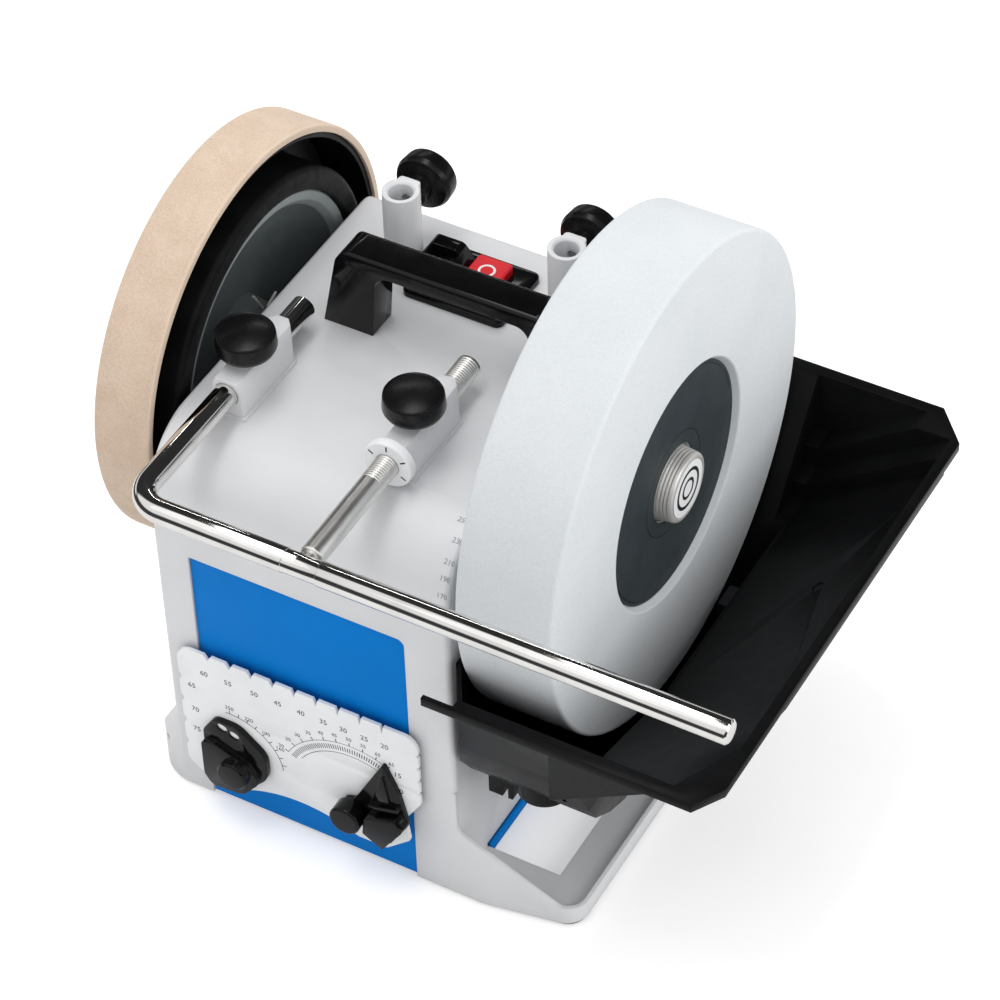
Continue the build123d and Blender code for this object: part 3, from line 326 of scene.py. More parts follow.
def wheel_finish(name):
    """The drive wheel's casting: a grey dish, and a lighter ring round its mouth that is a painted highlight
    where the rim faces the light.
    """
    finish, tree, shader, place = new_finish(name)
    dish = mottle(tree, noise(tree, place, 50.0, 4.0), (0.105, 0.122, 0.126), (0.130, 0.150, 0.154))
    out = node(tree, "ShaderNodeVectorMath", {0: place, 1: SHAFT}, operation="SUBTRACT").outputs["Vector"]
    across = node(tree, "ShaderNodeVectorMath", {0: out, 1: (0, 1, 1)}, operation="MULTIPLY")
    reach = length_of(tree, across.outputs["Vector"])
    # Past the dish's radius the colour turns lighter: a painted highlight on the rim, which faces the light
    ring = ease(tree, reach, DISH_RADIUS * MM, (DISH_RADIUS + 0.6) * MM)
    connect(tree, shader, Base_Color=blend_colours(tree, ring, dish, (0.30, 0.33, 0.335, 1.0)),
            Roughness=spread(tree, noise(tree, place, 150.0, 5.0), 0.40, 0.50),
            Normal=surface(tree, noise(tree, place, 1500.0, 2.0), 0.1, 0.12, 0.5), Specular_IOR_Level=0.3)
    return finish


def make_finishes():
    """Every finish of the machine by its name."""
    casing = bpy.context.scene.grinder_casing
    grey, blue = tuple(casing.colour), tuple(casing.panel_colour)
    cast = dict(rough=(0.28, 0.36), patch=30, grain=1100, strength=0.08, depth=0.14, edge=0.8)
    sheet = dict(rough=(0.36, 0.46), patch=24, grain=1600, strength=0.08, depth=0.1, edge=0.5, specular=0.03)
    made = {
        "cast_grey": plain_finish("cast_grey", shade(grey, 0.97), grey, **cast),
        "housing_grey": plain_finish("housing_grey", shade(grey, 0.97), shade(grey, 1.01), **cast),
        "blue_paint": plain_finish("blue_paint", shade(blue, 0.94), blue, **sheet),
        "wheel_grey": wheel_finish("wheel_grey"),
        "leather": leather_finish("leather"),
        "stone": stone_finish("stone"),
    }
    for name, values in PLAIN_FINISHES.items():
        made[name] = plain_finish(name, **values)
    for name, values in STEEL_FINISHES.items():
        made[name] = steel_finish(name, **values)
    return made


def ink(name, tone, rough=0.5):
    """Printing ink, a little uneven."""
    return plain_finish(name, shade(tone, 0.9), tone, (rough, rough + 0.1), patch=90, grain=2500,
                        strength=0.05, depth=0.03, edge=0.05)


def finish_named(name):
    """A finish that was made before."""
    found = bpy.data.materials.get("grinder_" + name)
    if found is None:
        raise RuntimeError(f"the finish {name} isn't made yet")
    return found


# Shaping


def pick(*pieces):
    """Selects these pieces alone, with the first one active."""
    bpy.ops.object.select_all(action="DESELECT")
    for piece in pieces:
        piece.select_set(True)
    bpy.context.view_layer.objects.active = pieces[0]


def name_piece(piece, name):
    """Names a piece and its mesh."""
    piece.name = name
    piece.data.name = name
    return piece


def fix_place():
    """Puts the picked piece's place into its mesh."""
    bpy.ops.object.transform_apply(location=True, rotation=True, scale=True)


def begin(name, add, **settings):
    """Adds a primitive with its place in its mesh and opens it for editing."""
    bpy.ops.object.select_all(action="DESELECT")
    add(**settings)
    piece = name_piece(bpy.context.object, name)
    fix_place()
    bpy.ops.object.mode_set(mode="EDIT")
    bpy.ops.mesh.select_all(action="SELECT")
    return piece


def draw(name, points):
    """A line of edges through the points, drawn by extruding one vertex."""
    piece = begin(name, bpy.ops.mesh.primitive_plane_add, size=MM, location=points[0])
    bpy.ops.mesh.merge(type="CENTER")
    for start, end in zip(points, points[1:]):
        bpy.ops.mesh.extrude_vertices_move(TRANSFORM_OT_translate={"value": end - start})
    bpy.ops.mesh.select_all(action="SELECT")
    return piece


def close_up(piece, crease=CREASE):
    """Merges doubles, turns the faces outwards and smooths all but the sharp edges."""
    bpy.ops.mesh.select_all(action="SELECT")
    bpy.ops.mesh.remove_doubles(threshold=WELD * MM)
    bpy.ops.mesh.normals_make_consistent(inside=False)
    bpy.ops.object.mode_set(mode="OBJECT")
    bpy.ops.object.shade_smooth_by_angle(angle=math.radians(crease))
    return piece


def lathe(name, profile, centre, axis, steps):
    """Turns a profile of (along, radius) in mm about an axis through the centre."""
    out = ALONG_Y if axis == ALONG_Z else ALONG_Z
    points = [centre + (axis * along + out * radius) * MM for along, radius in profile]
    piece = draw(name, points)
    bpy.ops.mesh.spin(steps=steps, angle=math.tau, center=centre, axis=axis)
    return close_up(piece)


def rounded(points, radii, steps=5):
    """The points of a closed profile with its corners rounded, back to its first point."""
    made = []
    count = len(points)
    for i, (corner, radius) in enumerate(zip(points, radii)):
        corner = Vector(corner)
        if not radius:
            made.append(corner)
            continue
        before = (Vector(points[i - 1]) - corner).normalized() * radius
        after = (Vector(points[(i + 1) % count]) - corner).normalized() * radius
        for k in range(steps + 1):
            t = k / steps
            made.append(corner + before * (1 - t) ** 2 + after * t ** 2)
    return made + made[:1]


def settle(piece, body, finish, slot, *nodes):
    """Gives a piece its finish and body, and hides the solids that it stands for."""
    piece.data.materials.clear()
    piece.data.materials.append(finish)
    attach(piece, body)
    if nodes:
        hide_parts(*nodes)
    return piece


def copy_of(piece, name, place):
    """A copy with its own mesh, moved by a matrix that goes into the mesh."""
    pick(piece)
    bpy.ops.object.duplicate(linked=False)
    made = name_piece(bpy.context.object, name)
    made.matrix_world = place
    fix_place()
    return made


def join(name, pieces):
    """Joins pieces to one."""
    pick(*pieces)
    if len(pieces) > 1:
        bpy.ops.object.join()
    return name_piece(bpy.context.object, name)


def softened(name, width):
    """A copy of a solid with its flat faces joined and its edges rounded by so many mm."""
    pick(frame["nodes"][name])
    bpy.ops.object.duplicate(linked=False)
    piece = name_piece(bpy.context.object, name + "_softened")
    bpy.ops.object.parent_clear(type="CLEAR_KEEP_TRANSFORM")
    # The copy is a piece of its own, so it drops the marks of the solid
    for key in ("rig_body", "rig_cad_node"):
        if key in piece:
            del piece[key]
    fix_place()
    bpy.ops.mesh.customdata_custom_splitnormals_clear()
    bpy.ops.object.mode_set(mode="EDIT")
    bpy.ops.mesh.select_all(action="SELECT")
    bpy.ops.mesh.remove_doubles(threshold=FINE_WELD * MM)
    bpy.ops.mesh.dissolve_limited(angle_limit=math.radians(0.6))
    bpy.ops.object.mode_set(mode="OBJECT")
    bpy.ops.object.modifier_add(type="BEVEL")
    modifier = piece.modifiers[-1]
    modifier.width = width * MM
    modifier.segments = 2
    modifier.limit_method = "ANGLE"
    modifier.angle_limit = math.radians(CREASE)
    modifier.use_clamp_overlap = True
    bpy.ops.object.modifier_apply(modifier=modifier.name)
    bpy.ops.object.shade_smooth_by_angle(angle=math.radians(CREASE + 8))
    return piece


# Prints


def facing(centre, right, up):
    """The matrix of a flat drawing laid at a place, with its right and up directions."""
    out = right.cross(up)
    turn = Matrix((right, up, out)).transposed().to_4x4()
    return Matrix.Translation(centre) @ turn


def on_gauge(x, z, ahead=PRINT_DEPTH / 2):
    """The matrix of a drawing that lies so many mm before the gauge's face."""
    return facing(spot(x, GAUGE_FACE - ahead, z), ALONG_X, ALONG_Z)


def lay(piece, place):
    """Moves a flat drawing to its place, into its mesh."""
    piece.matrix_world = place
    pick(piece)
    fix_place()
    return piece


def lettering(number, height, place):
    """A printed number of so many mm, as a thin mesh."""
    bpy.ops.object.select_all(action="DESELECT")
    bpy.ops.object.text_add()
    text = bpy.context.object.data
    text.body = str(number)
    text.size = height * MM * 1.4
    text.align_x = "CENTER"
    text.align_y = "CENTER"
    text.extrude = PRINT_DEPTH / 2 * MM
    text.resolution_u = 4
    bpy.ops.object.convert(target="MESH")
    return lay(bpy.context.object, place)


def thicken(piece):
    """Gives a flat print its thickness, half on each side."""
    bpy.ops.object.mode_set(mode="OBJECT")
    bpy.ops.object.modifier_add(type="SOLIDIFY")
    modifier = piece.modifiers[-1]
    modifier.thickness = PRINT_DEPTH * MM
    modifier.offset = 0.0
    bpy.ops.object.modifier_apply(modifier=modifier.name)
    return piece


def arc_line(radius, width, start, sweep, place, steps=48):
    """A printed arc about the middle of a drawing, angles in degrees from its right."""
    turn = Matrix.Rotation(math.radians(start), 3, "Z")
    ends = [turn @ Vector((r * MM, 0, 0)) for r in (radius - width / 2, radius + width / 2)]
    piece = draw("arc", ends)
    bpy.ops.mesh.spin(steps=steps, angle=-math.radians(sweep), center=(0, 0, 0), axis=(0, 0, 1))
    bpy.ops.mesh.select_all(action="SELECT")
    bpy.ops.mesh.remove_doubles(threshold=FINE_WELD * MM)
    return lay(thicken(piece), place)


def ring_line(radius, width, place, steps=96):
    """A printed ring about the middle of a drawing."""
    return arc_line(radius, width, 0, 360, place, steps)


def tick_ring(inner, outer, width, start, sweep, count, place):
    """Printed strokes between two radii, spread over an angle."""
    piece = begin("ticks", bpy.ops.mesh.primitive_plane_add, size=1.0)
    length = (outer - inner) * MM
    bpy.ops.transform.resize(value=(length, width * MM, 1.0))
    bpy.ops.transform.translate(value=((inner + outer) / 2 * MM, 0, 0))
    bpy.ops.transform.rotate(value=-math.radians(start), orient_axis="Z", center_override=(0, 0, 0))
    if count > 1:
        bpy.ops.mesh.spin(steps=count - 1, dupli=True, angle=-math.radians(sweep), center=(0, 0, 0),
                          axis=(0, 0, 1))
    return lay(thicken(piece), place)


# Settings


class GrinderStoneSettings(bpy.types.PropertyGroup):
    """The grinding stone."""

    colour: bpy.props.FloatVectorProperty(
        name="Stone colour", description="Colour of the dry grit", subtype="COLOR", size=3, min=0.0, max=1.0,
        default=(0.685, 0.713, 0.733))
    grit: bpy.props.FloatProperty(name="Grit", description="Grains to the metre", default=2200.0, min=200.0)
    edge: bpy.props.FloatProperty(
        name="Edge", description="Rounding of the stone's edges", default=2.4 * MM, min=0.2 * MM,
        max=4.0 * MM, unit="LENGTH", precision=5)


class GrinderHoningSettings(bpy.types.PropertyGroup):
    """The honing wheel."""

    leather_colour: bpy.props.FloatVectorProperty(
        name="Leather colour", description="Colour of the leather band", subtype="COLOR", size=3, min=0.0,
        max=1.0, default=(0.665, 0.53, 0.418))


class GrinderCasingSettings(bpy.types.PropertyGroup):
    """The painted casing."""

    colour: bpy.props.FloatVectorProperty(
        name="Casing colour", description="Colour of the painted castings", subtype="COLOR", size=3, min=0.0,
        max=1.0, default=(0.68, 0.686, 0.702))
    panel_colour: bpy.props.FloatVectorProperty(
        name="Panel colour", description="Colour of the sheet front", subtype="COLOR", size=3, min=0.0,
        max=1.0, default=(0.003, 0.192, 0.615))


class GrinderSupportSettings(bpy.types.PropertyGroup):
    """The tool support."""

    thread_pitch: bpy.props.FloatProperty(
        name="Thread pitch", description="Pitch of the right leg's thread", default=1.5 * MM, min=0.5 * MM,
        max=3.0 * MM, unit="LENGTH", precision=5)
    thread_depth: bpy.props.FloatProperty(
        name="Thread depth", description="Depth of that thread", default=0.45 * MM, min=0.1 * MM,
        max=1.0 * MM, unit="LENGTH", precision=5)
    plain_length: bpy.props.FloatProperty(
        name="Plain length", description="Length of that leg without thread", default=58.0 * MM,
        min=10.0 * MM, max=120.0 * MM, unit="LENGTH", precision=4)


class GrinderStageSettings(bpy.types.PropertyGroup):
    """The studio."""

    lens: bpy.props.FloatProperty(
        name="Lens", description="Focal length on a 36 mm sensor", default=136.846, min=20.0, unit="CAMERA")
    key_power: bpy.props.FloatProperty(
        name="Key light", description="Power of the large soft lamp", default=2.0, min=0.0, unit="POWER")
    side_power: bpy.props.FloatProperty(
        name="Side light", description="Power of the lamp on the stone's side", default=12.0, min=0.0,
        unit="POWER")
    top_power: bpy.props.FloatProperty(
        name="Top light", description="Power of the lamp overhead", default=17.0, min=0.0, unit="POWER")
    strip_power: bpy.props.FloatProperty(
        name="Strip light", description="Power of the thin lamp behind", default=1.8, min=0.0, unit="POWER")
    ambient: bpy.props.FloatProperty(
        name="Room light", description="Even light from the room", default=0.86, min=0.0, max=2.0)
    gloss: bpy.props.FloatProperty(
        name="Gloss", description="Brightness of the room as it is seen in polished metal", default=0.9,
        min=0.0, max=2.0)


# Pieces


class GRINDER_OT_finishes(bpy.types.Operator):
    """Makes the finishes and gives every solid its own."""

    bl_idname = "grinder.finishes"
    bl_label = "Finishes"

    def execute(self, context):
        finishes = make_finishes()
        for row in frame["record"]["subparts"]:
            solid = frame["nodes"][row["node"]]
            solid.data.materials.clear()
            solid.data.materials.append(finishes[row["material_slot"]])
        return {"FINISHED"}


class GRINDER_OT_stone(bpy.types.Operator):
    """Turns the stone with rounded edges, and its label disc with printed rings."""

    bl_idname = "grinder.stone"
    bl_label = "Grinding stone"

    def execute(self, context):
        edge = context.scene.grinder_stone.edge / MM
        radius, left = STONE_RADIUS - BOX_MARGIN, -STONE_WIDTH
        corners = [(left, STONE_BORE), (NUT_RECESS, STONE_BORE), (NUT_RECESS, 19.8), (LABEL_SEAT, 19.8),
                   (LABEL_SEAT, 61.5), (0, 63.2), (0, radius), (left, radius)]
        profile = rounded(corners, [0, 0, 0, 0.2, 0.3, 1.0, edge, edge])
        stone = lathe("stone_turned", profile, SHAFT, ALONG_X, 216)
        settle(stone, "grinding_shaft", finish_named("stone"), "stone", "stone")
        corners = [(LABEL_SEAT, LABEL_BORE), (LABEL_FACE, LABEL_BORE), (LABEL_FACE, LABEL_RADIUS),
                   (LABEL_SEAT, LABEL_RADIUS)]
        disc = lathe("stone_label_disc", rounded(corners, [0, 0.15, 0.3, 0]), SHAFT, ALONG_X, 160)
        settle(disc, "grinding_shaft", finish_named("label"), "label", "stone_label")
        face = facing(spot(LABEL_FACE, 0, 0), ALONG_Y, ALONG_Z)
        rings = [ring_line(59.2, 0.5, face, 120), ring_line(27.0, 0.4, face)]
        print_ink = ink("label_ink", (0.006, 0.007, 0.008), 0.45)
        settle(join("stone_label_print", rings), "grinding_shaft", print_ink, "label")
        return {"FINISHED"}


class GRINDER_OT_stone_nut(bpy.types.Operator):
    """Turns the stone's nut with grip grooves and a pale cap."""

    bl_idname = "grinder.stone_nut"
    bl_label = "Stone nut"

    def execute(self, context):
        profile = [(2, 0), (2, NUT_BORE), (-8.2, NUT_BORE), (-8.2, 18.6), (-8.0, 18.8), (-5.2, 18.8),
                   (-4.9, 18.6), (-4.5, NUT_CREST)]
        for step in range(4):
            start = -4.0 + 1.75 * step
            crest = NUT_CREST - 0.2 * step
            root = crest - 0.3
            profile += [(start, crest), (start + 0.25, root), (start + 0.75, root), (start + 1.0, crest)]
        profile += [(3.2, 17.6), (3.9, 17.2), (4.3, 16.5), (4.4, 15.6), (4.0, 15.4), (4.0, 15.0), (4.2, 14.8),
                    (NUT_FACE, 0)]
        nut = lathe("stone_nut_turned", profile, SHAFT, ALONG_X, 128)
        settle(nut, "stone_nut", finish_named("pale_alloy"), "nickel", "stone_nut")
        face = facing(spot(NUT_FACE + 0.03, 0, 0), ALONG_Y, ALONG_Z)
        cap = ring_line(7.4, 14.6, face)
        settle(cap, "stone_nut", finish_named("white_plastic"), "white_plastic")
        top = facing(spot(NUT_FACE + 0.1, 0, 0), ALONG_Y, ALONG_Z)
        rings = [ring_line(10.2, 1.8, top), ring_line(5.0, 1.6, top, 64)]
        settle(join("stone_nut_print", rings), "stone_nut", ink("nut_ink", (0.02, 0.02, 0.022)), "label")
        return {"FINISHED"}


class GRINDER_OT_honing_wheel(bpy.types.Operator):
    """Turns the leather band with soft edges."""

    bl_idname = "grinder.honing_wheel"
    bl_label = "Honing wheel"

    def execute(self, context):
        low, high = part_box("leather_tread")
        radius = (high.z - low.z) / 2 / MM
        left, right = (low.x - SHAFT.x) / MM, (high.x - SHAFT.x) / MM
        corners = [(left, CUP_RADIUS), (right, CUP_RADIUS), (right, radius), (left, radius)]
        band = lathe("leather_band", rounded(corners, [0.2, 0.2, 1.6, 1.6]), SHAFT, ALONG_X, 200)
        settle(band, "grinding_shaft", finish_named("leather"), "leather", "leather_tread")
        return {"FINISHED"}


class GRINDER_OT_tool_support(bpy.types.Operator):
    """Cuts the thread of the right leg and turns the fine adjuster with its scale."""

    bl_idname = "grinder.tool_support"
    bl_label = "Tool support"

    def execute(self, context):
        props = context.scene.grinder_support
        pitch, depth = props.thread_pitch / MM, props.thread_depth / MM
        low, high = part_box("support_threaded_leg")
        centre = Vector(((low.x + high.x) / 2, low.y, (low.z + high.z) / 2))
        length = (high.y - low.y) / MM
        crest, root = ROD_RADIUS, ROD_RADIUS - depth
        place = props.plain_length / MM
        profile = [(0, 0), (0, 4.2), (6.5, 4.2), (6.5, 5.4), (7.2, crest), (place, crest)]
        while place + pitch < length - 1.5:
            profile += [(place + pitch * 0.4, root), (place + pitch * 0.6, root), (place + pitch, crest)]
            place += pitch
        profile += [(length - 0.8, crest), (length, 5.2), (length, 0)]
        leg = lathe("support_leg_threaded", profile, centre, ALONG_Y, 64)
        settle(leg, "support", finish_named("nickel"), "nickel", "support_threaded_leg")
        low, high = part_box("micro_nut")
        middle = Vector(((low.x + high.x) / 2, low.y, (low.z + high.z) / 2))
        corners = [(0, ADJUSTER_BORE), (0, ADJUSTER_RADIUS), (ADJUSTER_WIDTH, ADJUSTER_RADIUS),
                   (ADJUSTER_WIDTH, ADJUSTER_BORE)]
        nut = lathe("fine_adjuster", rounded(corners, [0.3, 0.8, 0.8, 0.2]), middle, ALONG_Y, 96)
        settle(nut, "micro_nut", finish_named("white_plastic"), "white_plastic", "micro_nut")
        face = facing(middle - ALONG_Y * PRINT_LIFT * MM, ALONG_X, ALONG_Z)
        scale = name_piece(tick_ring(8.2, 11.2, 0.8, 90, 300, 6, face), "fine_adjuster_scale")
        settle(scale, "micro_nut", ink("scale_ink", (0.012, 0.012, 0.012)), "label")
        return {"FINISHED"}


class GRINDER_OT_lock_knobs(bpy.types.Operator):
    """Turns a lock knob for each row and copies it to its two places."""

    bl_idname = "grinder.lock_knobs"
    bl_label = "Lock knobs"

    def execute(self, context):
        low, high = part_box("lock_knob_front_left")
        base = Vector(((low.x + high.x) / 2, (low.y + high.y) / 2, low.z))
        height = (high.z - low.z) / MM
        low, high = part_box("lock_knob_rear_left")
        neck = (high.y - low.y) / MM - height
        for row, reach in (("front", 0.0), ("rear", neck)):
            knob = lathe("knob", self.profile(height, reach), base, ALONG_Z, 96)
            for side in ("left", "right"):
                name = f"lock_knob_{row}_{side}"
                low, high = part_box(name)
                foot = Vector(((low.x + high.x) / 2, (low.y + high.y) / 2, low.z))
                turn = Matrix.Identity(4)
                if row == "rear":
                    foot = Vector((foot.x, low.y + neck * MM, (low.z + high.z) / 2))
                    turn = Matrix.Rotation(-math.pi / 2, 4, "X")
                place = Matrix.Translation(foot) @ turn @ Matrix.Translation(-base)
                made = copy_of(knob, name + "_turned", place)
                settle(made, f"lock_{row}_{side}", finish_named("knob_black"), "black_plastic", name)
            bpy.data.objects.remove(knob)
        return {"FINISHED"}

    def profile(self, height, neck):
        """The knob's section from its screw hole round to the middle of its domed face."""
        points = [(10, 0), (10, 3.02), (-neck, 3.02), (-neck, 6.7), (0.3 - neck, 7.0), (0, 7.0), (0, 7.6),
                  (0.1, 8.0), (1.7, 13.2), (2.0, 13.7), (4.2, 14.8), (4.7, 14.92), (11.0, 14.45),
                  (11.7, 14.3), (12.2, 13.9)]
        dome = [(height - KNOB_DOME + math.sqrt(KNOB_DOME ** 2 - r ** 2), r)
                for r in (13.2, 12.4, 11.0, 9.5, 8.0, 6.0, 4.0, 2.0, 0.0)]
        rim_height, rim_radius = dome[0]
        return points + [(rim_height - 0.05, rim_radius)] + dome[1:]


class GRINDER_OT_softened(bpy.types.Operator):
    """Rounds the edges of the castings, the mouldings and the sheet."""

    bl_idname = "grinder.softened"
    bl_label = "Softened edges"

    ROUNDING = {"cast_top": 0.8, "cabinet": 0.8, "blue_wrap": 0.35, "carry_handle": 1.2,
                "switch_housing": 0.6, "stop_button": 0.3, "start_button": 0.3, "trough": 0.7,
                "trough_hooks": 0.6, "gauge_plate": 0.3, "gauge_dial": 0.5, "gauge_pointer": 0.5,
                "pointer_knob": 0.5, "hone_cup": 0.4, "drive_wheel": 0.5, "drive_rubber": 0.4,
                "rubber_feet": 0.4, "support_bar": 0.2}
    OWN_FINISH = {"trough": "trough_black", "trough_hooks": "trough_black", "hone_cup": "trough_black"}

    def execute(self, context):
        slots = {row["node"]: row["material_slot"] for row in frame["record"]["subparts"]}
        bodies = frame["record"]["behaviour"]["bodies"]
        owners = {name: body for body, names in bodies.items() for name in names}
        for name, width in self.ROUNDING.items():
            finish = finish_named(self.OWN_FINISH.get(name, slots[name]))
            settle(softened(name, width), owners[name], finish, slots[name], name)
        return {"FINISHED"}


class GRINDER_OT_gauge_print(bpy.types.Operator):
    """Prints the angle gauge: the notch numbers, the stone scale and the angle scale."""

    bl_idname = "grinder.gauge_print"
    bl_label = "Angle gauge print"

    NOTCHES = (-194.9, -181.2, -166.3, -153.0, -140.0, -127.4, -116.3, -104.6, -93.4)
    EDGE_NUMBERS = ((65, -202.9, -122.0), (70, -202.4, -139.0), (75, -202.7, -153.4), (15, -87.0, -127.0),
                    (10, -86.5, -138.0))
    STONE_NUMBERS = ((250, -181.9, -128.0), (220, -171.0, -130.8), (190, -161.6, -136.0),
                     (160, -154.0, -143.0))

    def execute(self, context):
        marks = [lettering(60 - 5 * index, 3.2, on_gauge(x, -110.0)) for index, x in enumerate(self.NOTCHES)]
        marks += [lettering(number, 3.2, on_gauge(x, z)) for number, x, z in self.EDGE_NUMBERS]
        dial = on_gauge(*DIAL_AT)
        marks += [arc_line(29.0, 0.35, 5, 90, dial), tick_ring(29.0, 31.5, 0.4, 12, 78, 9, dial)]
        marks += [lettering(number, 2.4, on_gauge(x, z)) for number, x, z in self.STONE_NUMBERS]
        angle = on_gauge(*POINTER_AT)
        marks += [arc_line(35.0, 0.3, 60, 88, angle), arc_line(42.0, 0.25, 62, 90, angle)]
        marks.append(tick_ring(37.0, 40.0, 0.45, 62, 90, 46, angle))
        marks.append(tick_ring(42.0, 44.2, 0.5, 62, 90, 10, angle))
        for step in range(10):
            turn = math.radians(152 - 10 * step)
            x, z = POINTER_AT[0] + 46.6 * math.cos(turn), POINTER_AT[1] + 46.6 * math.sin(turn)
            marks.append(lettering(20 + 5 * step, 2.3, on_gauge(x, z)))
        settle(join("gauge_print", marks), "machine", ink("gauge_ink", (0.02, 0.02, 0.022)), "label")
        return {"FINISHED"}


class GRINDER_OT_dial_windows(bpy.types.Operator):
    """Sets the two pale ovals in the windows of the gauge's dial."""

    bl_idname = "grinder.dial_windows"
    bl_label = "Dial windows"

    def execute(self, context):
        reach, half = 0.8, 2.25
        outline = []
        for k in range(24):
            turn = math.pi * (k + 0.5) / 12
            aside = math.copysign(reach, math.cos(turn)) + half * math.cos(turn)
            outline.append(Vector((aside, half * math.sin(turn), 0)) * MM)
        lean = Matrix.Rotation(math.radians(-20), 4, "Z")
        ovals = []
        for x, z in ((-185.3, -141.0), (-178.6, -143.3)):
            oval = draw("dial_window", outline)
            bpy.ops.mesh.edge_face_add()
            bpy.ops.mesh.extrude_region_move(TRANSFORM_OT_translate={"value": (0, 0, 1.6 * MM)})
            close_up(oval)
            ovals.append(lay(oval, on_gauge(x, z, 0.6) @ lean))
        settle(join("dial_windows", ovals), "gauge_dial", finish_named("white_plastic"), "white_plastic")
        return {"FINISHED"}


class GRINDER_OT_hub_pin(bpy.types.Operator):
    """Bends the split pin that holds the drive wheel's hub."""

    bl_idname = "grinder.hub_pin"
    bl_label = "Hub pin"

    LEGS = (((-228.0, 1.5, 15.5), (-228.6, -5.0, 28.0)), ((-226.8, 4.0, 15.2), (-225.4, 10.5, 20.5)))
    WIRE_RADIUS = 0.85

    def execute(self, context):
        legs = []
        for start, end in self.LEGS:
            first, along = spot(*start), spot(*end) - spot(*start)
            leg = begin("pin_leg", bpy.ops.mesh.primitive_circle_add, vertices=16, fill_type="NGON",
                        radius=self.WIRE_RADIUS * MM, location=first,
                        rotation=along.to_track_quat("Z", "Y").to_euler())
            bpy.ops.mesh.extrude_region_move(TRANSFORM_OT_translate={"value": along * 0.94})
            bpy.ops.mesh.extrude_region_move(TRANSFORM_OT_translate={"value": along * 0.06})
            bpy.ops.transform.resize(value=(0.6, 0.6, 0.6))
            legs.append(close_up(leg, 40))
        settle(join("hub_pin", legs), "grinding_shaft", finish_named("pale_alloy"), "bright_steel")
        return {"FINISHED"}


class GRINDER_OT_switch_signs(bpy.types.Operator):
    """Prints the ring on the stop button and the bar on the start button."""

    bl_idname = "grinder.switch_signs"
    bl_label = "Switch signs"

    def execute(self, context):
        white = ink("sign_white", (0.85, 0.85, 0.85), 0.4)
        ring = ring_line(3.8, 1.2, self.on_button("stop_button", 1.8), 64)
        settle(name_piece(ring, "stop_button_sign"), "stop_button", white, "white_plastic")
        bar = tick_ring(-4.5, 4.5, 1.4, 90, 0, 1, self.on_button("start_button"))
        settle(name_piece(bar, "start_button_sign"), "start_button", white, "white_plastic")
        return {"FINISHED"}

    def on_button(self, button, ahead=0.0):
        """The matrix of a drawing on top of a button, so many mm before its middle."""
        low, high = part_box(button)
        top = Vector(((low.x + high.x) / 2, (low.y + high.y) / 2 - ahead * MM, high.z + PRINT_LIFT * MM))
        return facing(top, ALONG_X, ALONG_Y)


class GRINDER_OT_casing_scale(bpy.types.Operator):
    """Prints the faint numbers down the curved front of the casing."""

    bl_idname = "grinder.casing_scale"
    bl_label = "Casing scale"

    NUMBERS = ((250, -63.2, -91.4, 27.8), (230, -61.0, -100.7, 23.7), (210, -61.0, -108.7, 17.1),
               (190, -61.0, -113.4, 10.7), (170, -61.0, -116.7, 2.6))

    def execute(self, context):
        curve_y, curve_z = CASING_CURVE
        marks = []
        for number, x, y, z in self.NUMBERS:
            out = Vector((0, y - curve_y, z - curve_z)).normalized()
            on_curve = spot(x, curve_y, curve_z) + out * ((CASING_CURVE_RADIUS + 0.06) * MM)
            marks.append(lettering(number, 2.7, facing(on_curve, ALONG_X, out.cross(ALONG_X))))
        grey = ink("casing_ink", (0.30, 0.31, 0.33))
        settle(join("casing_scale_print", marks), "machine", grey, "label")
        return {"FINISHED"}


